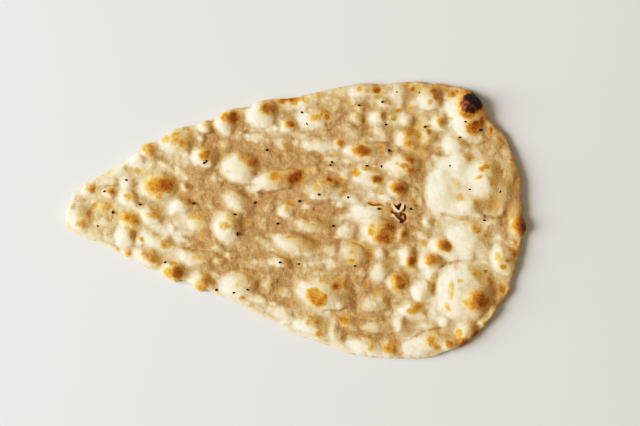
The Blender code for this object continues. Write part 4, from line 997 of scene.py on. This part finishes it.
# ---------------------------------------------------------------- seeds
def make_seeds():
    """Every seed as one joined mesh: three-sided drops, each bedded in the crust."""
    verts, faces = [], []
    rows, sides = 9, 12
    for k, (u, v, turn, sunk) in enumerate(SEEDS):
        scale = 1 + 0.10 * math.sin(k * 2.4)
        at = np.array([[u, v], [u + 1.2, v], [u, v + 1.2]])
        z = top_height(at, sample(edge, at))
        slope_u, slope_v = (z[1] - z[0]) / 1.2, (z[2] - z[0]) / 1.2
        up = Vector((-slope_u, slope_v, 1)).normalized()
        face = Matrix.Rotation(math.radians(-turn), 3, "Z")
        along = face @ Vector((1, 0, 0))
        along = (along - up * along.dot(up)).normalized()
        across = up.cross(along)
        spot = Vector(place(at[:1], z[:1])[0]) + up * (SEED_DEEP * scale * (0.34 - 0.62 * sunk) * MM)
        base = len(verts)
        for r in range(rows + 1):
            t = r / rows
            girth = math.sin(math.pi * t) ** 0.75 * (1.12 - 0.42 * t)
            for s in range(sides):
                a = 2 * math.pi * s / sides
                facet = 1 - 0.13 * math.cos(3 * a + 0.5 * k)
                verts.append(
                    spot
                    + along * ((t - 0.5) * SEED_LONG * scale * MM)
                    + across * (math.cos(a) * girth * facet * SEED_WIDE / 2 * scale * MM)
                    + up * (math.sin(a) * girth * facet * SEED_DEEP / 2 * scale * MM)
                )
        for r in range(rows):
            for s in range(sides):
                a, b = base + r * sides + s, base + r * sides + (s + 1) % sides
                if r == 0:
                    faces.append((base, b + sides, a + sides))
                elif r == rows - 1:
                    faces.append((a, b, base + rows * sides))
                else:
                    faces.append((a, b, b + sides, a + sides))
    mesh = bpy.data.meshes.new("onion_seeds")
    mesh.from_pydata([tuple(p) for p in verts], [], faces)
    tidy = bmesh.new()
    tidy.from_mesh(mesh)
    bmesh.ops.delete(tidy, geom=[p for p in tidy.verts if not p.link_faces], context="VERTS")
    bmesh.ops.recalc_face_normals(tidy, faces=tidy.faces)
    for f in tidy.faces:
        f.smooth = True
    tidy.to_mesh(mesh)
    tidy.free()
    return mesh


def add(name, mesh, material):
    piece = bpy.data.objects.new(name, mesh)
    piece.data.materials.append(material)
    bpy.context.scene.collection.objects.link(piece)
    return piece


bread = add("bread", make_bread(), bread_material())
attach(bread, "root")
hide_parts("naan")

seeds = add("onion_seeds", make_seeds(), seed_material())
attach(seeds, "root")

# ---------------------------------------------------------------- floor, light and camera
bpy.ops.mesh.primitive_plane_add(size=6, location=(0, 0, floor_z - 0.0002))
floor = bpy.context.object
floor.name = "floor"
floor_look = Nodes("plain_floor")
floor_tone = floor_look.mix(floor_look.noise(3, 2), srgb(214, 213, 210), srgb(222, 221, 218))
floor_look.link(floor_tone, floor_look.shader.inputs["Base Color"])
floor_look.shader.inputs["Roughness"].default_value = 0.7
floor.data.materials.append(floor_look.material)


def area_light(name, place_at, aim, size, watts, colour):
    data = bpy.data.lights.new(name, "AREA")
    data.shape, data.size, data.energy, data.color = "DISK", size, watts, colour
    lamp = bpy.data.objects.new(name, data)
    lamp.location = place_at
    lamp.rotation_euler = (Vector(aim) - Vector(place_at)).to_track_quat("-Z", "Y").to_euler()
    bpy.context.scene.collection.objects.link(lamp)
    return lamp


area_light("key", (-3.5, -0.08, 1.78), (0, 0, 0), 2.9, 340, (1.0, 1.0, 1.0))
area_light("fill", (0.9, 0.9, 1.5), (0, 0, 0), 1.6, 2.2, (1.0, 0.97, 0.92))

world = bpy.data.worlds.new("studio")
world.use_nodes = True
world.node_tree.nodes["Background"].inputs["Color"].default_value = (1.0, 0.86, 0.66, 1)
world.node_tree.nodes["Background"].inputs["Strength"].default_value = 0.30
bpy.context.scene.world = world

# The film curve: deep middle tones and a soft shoulder, as a camera gives.
BRIGHTEST = 3.0
view = bpy.context.scene.view_settings
view.view_transform = "Standard"
view.use_curve_mapping = True
view.curve_mapping.white_level = (BRIGHTEST,) * 3
film = view.curve_mapping.curves[3]
film.points[0].location = (0.0, 0.0)
film.points[1].location = (1.0, 1.06)
for light in (0.08, 0.16, 0.3, 0.45, 0.65, 0.9, 1.2, 1.6):
    film.points.new(light / BRIGHTEST, 1.18 * light**1.7 / (light**1.7 + 0.385))
view.curve_mapping.clip_max_y = 1.2
view.curve_mapping.update()

VIEW_WIDTH, VIEW_FROM = 0.640, 1.45
camera_data = bpy.data.cameras.new("camera")
camera_data.sensor_width = 36
camera_data.lens = 36 * VIEW_FROM / VIEW_WIDTH
camera = bpy.data.objects.new("camera", camera_data)
camera.location = (centre_x + (320 - middle_u) * MM, centre_y + (middle_v - 213) * MM, floor_z + 0.008 + VIEW_FROM)
camera.rotation_euler = (0, 0, 0)
bpy.context.scene.collection.objects.link(camera)
bpy.context.scene.camera = camera
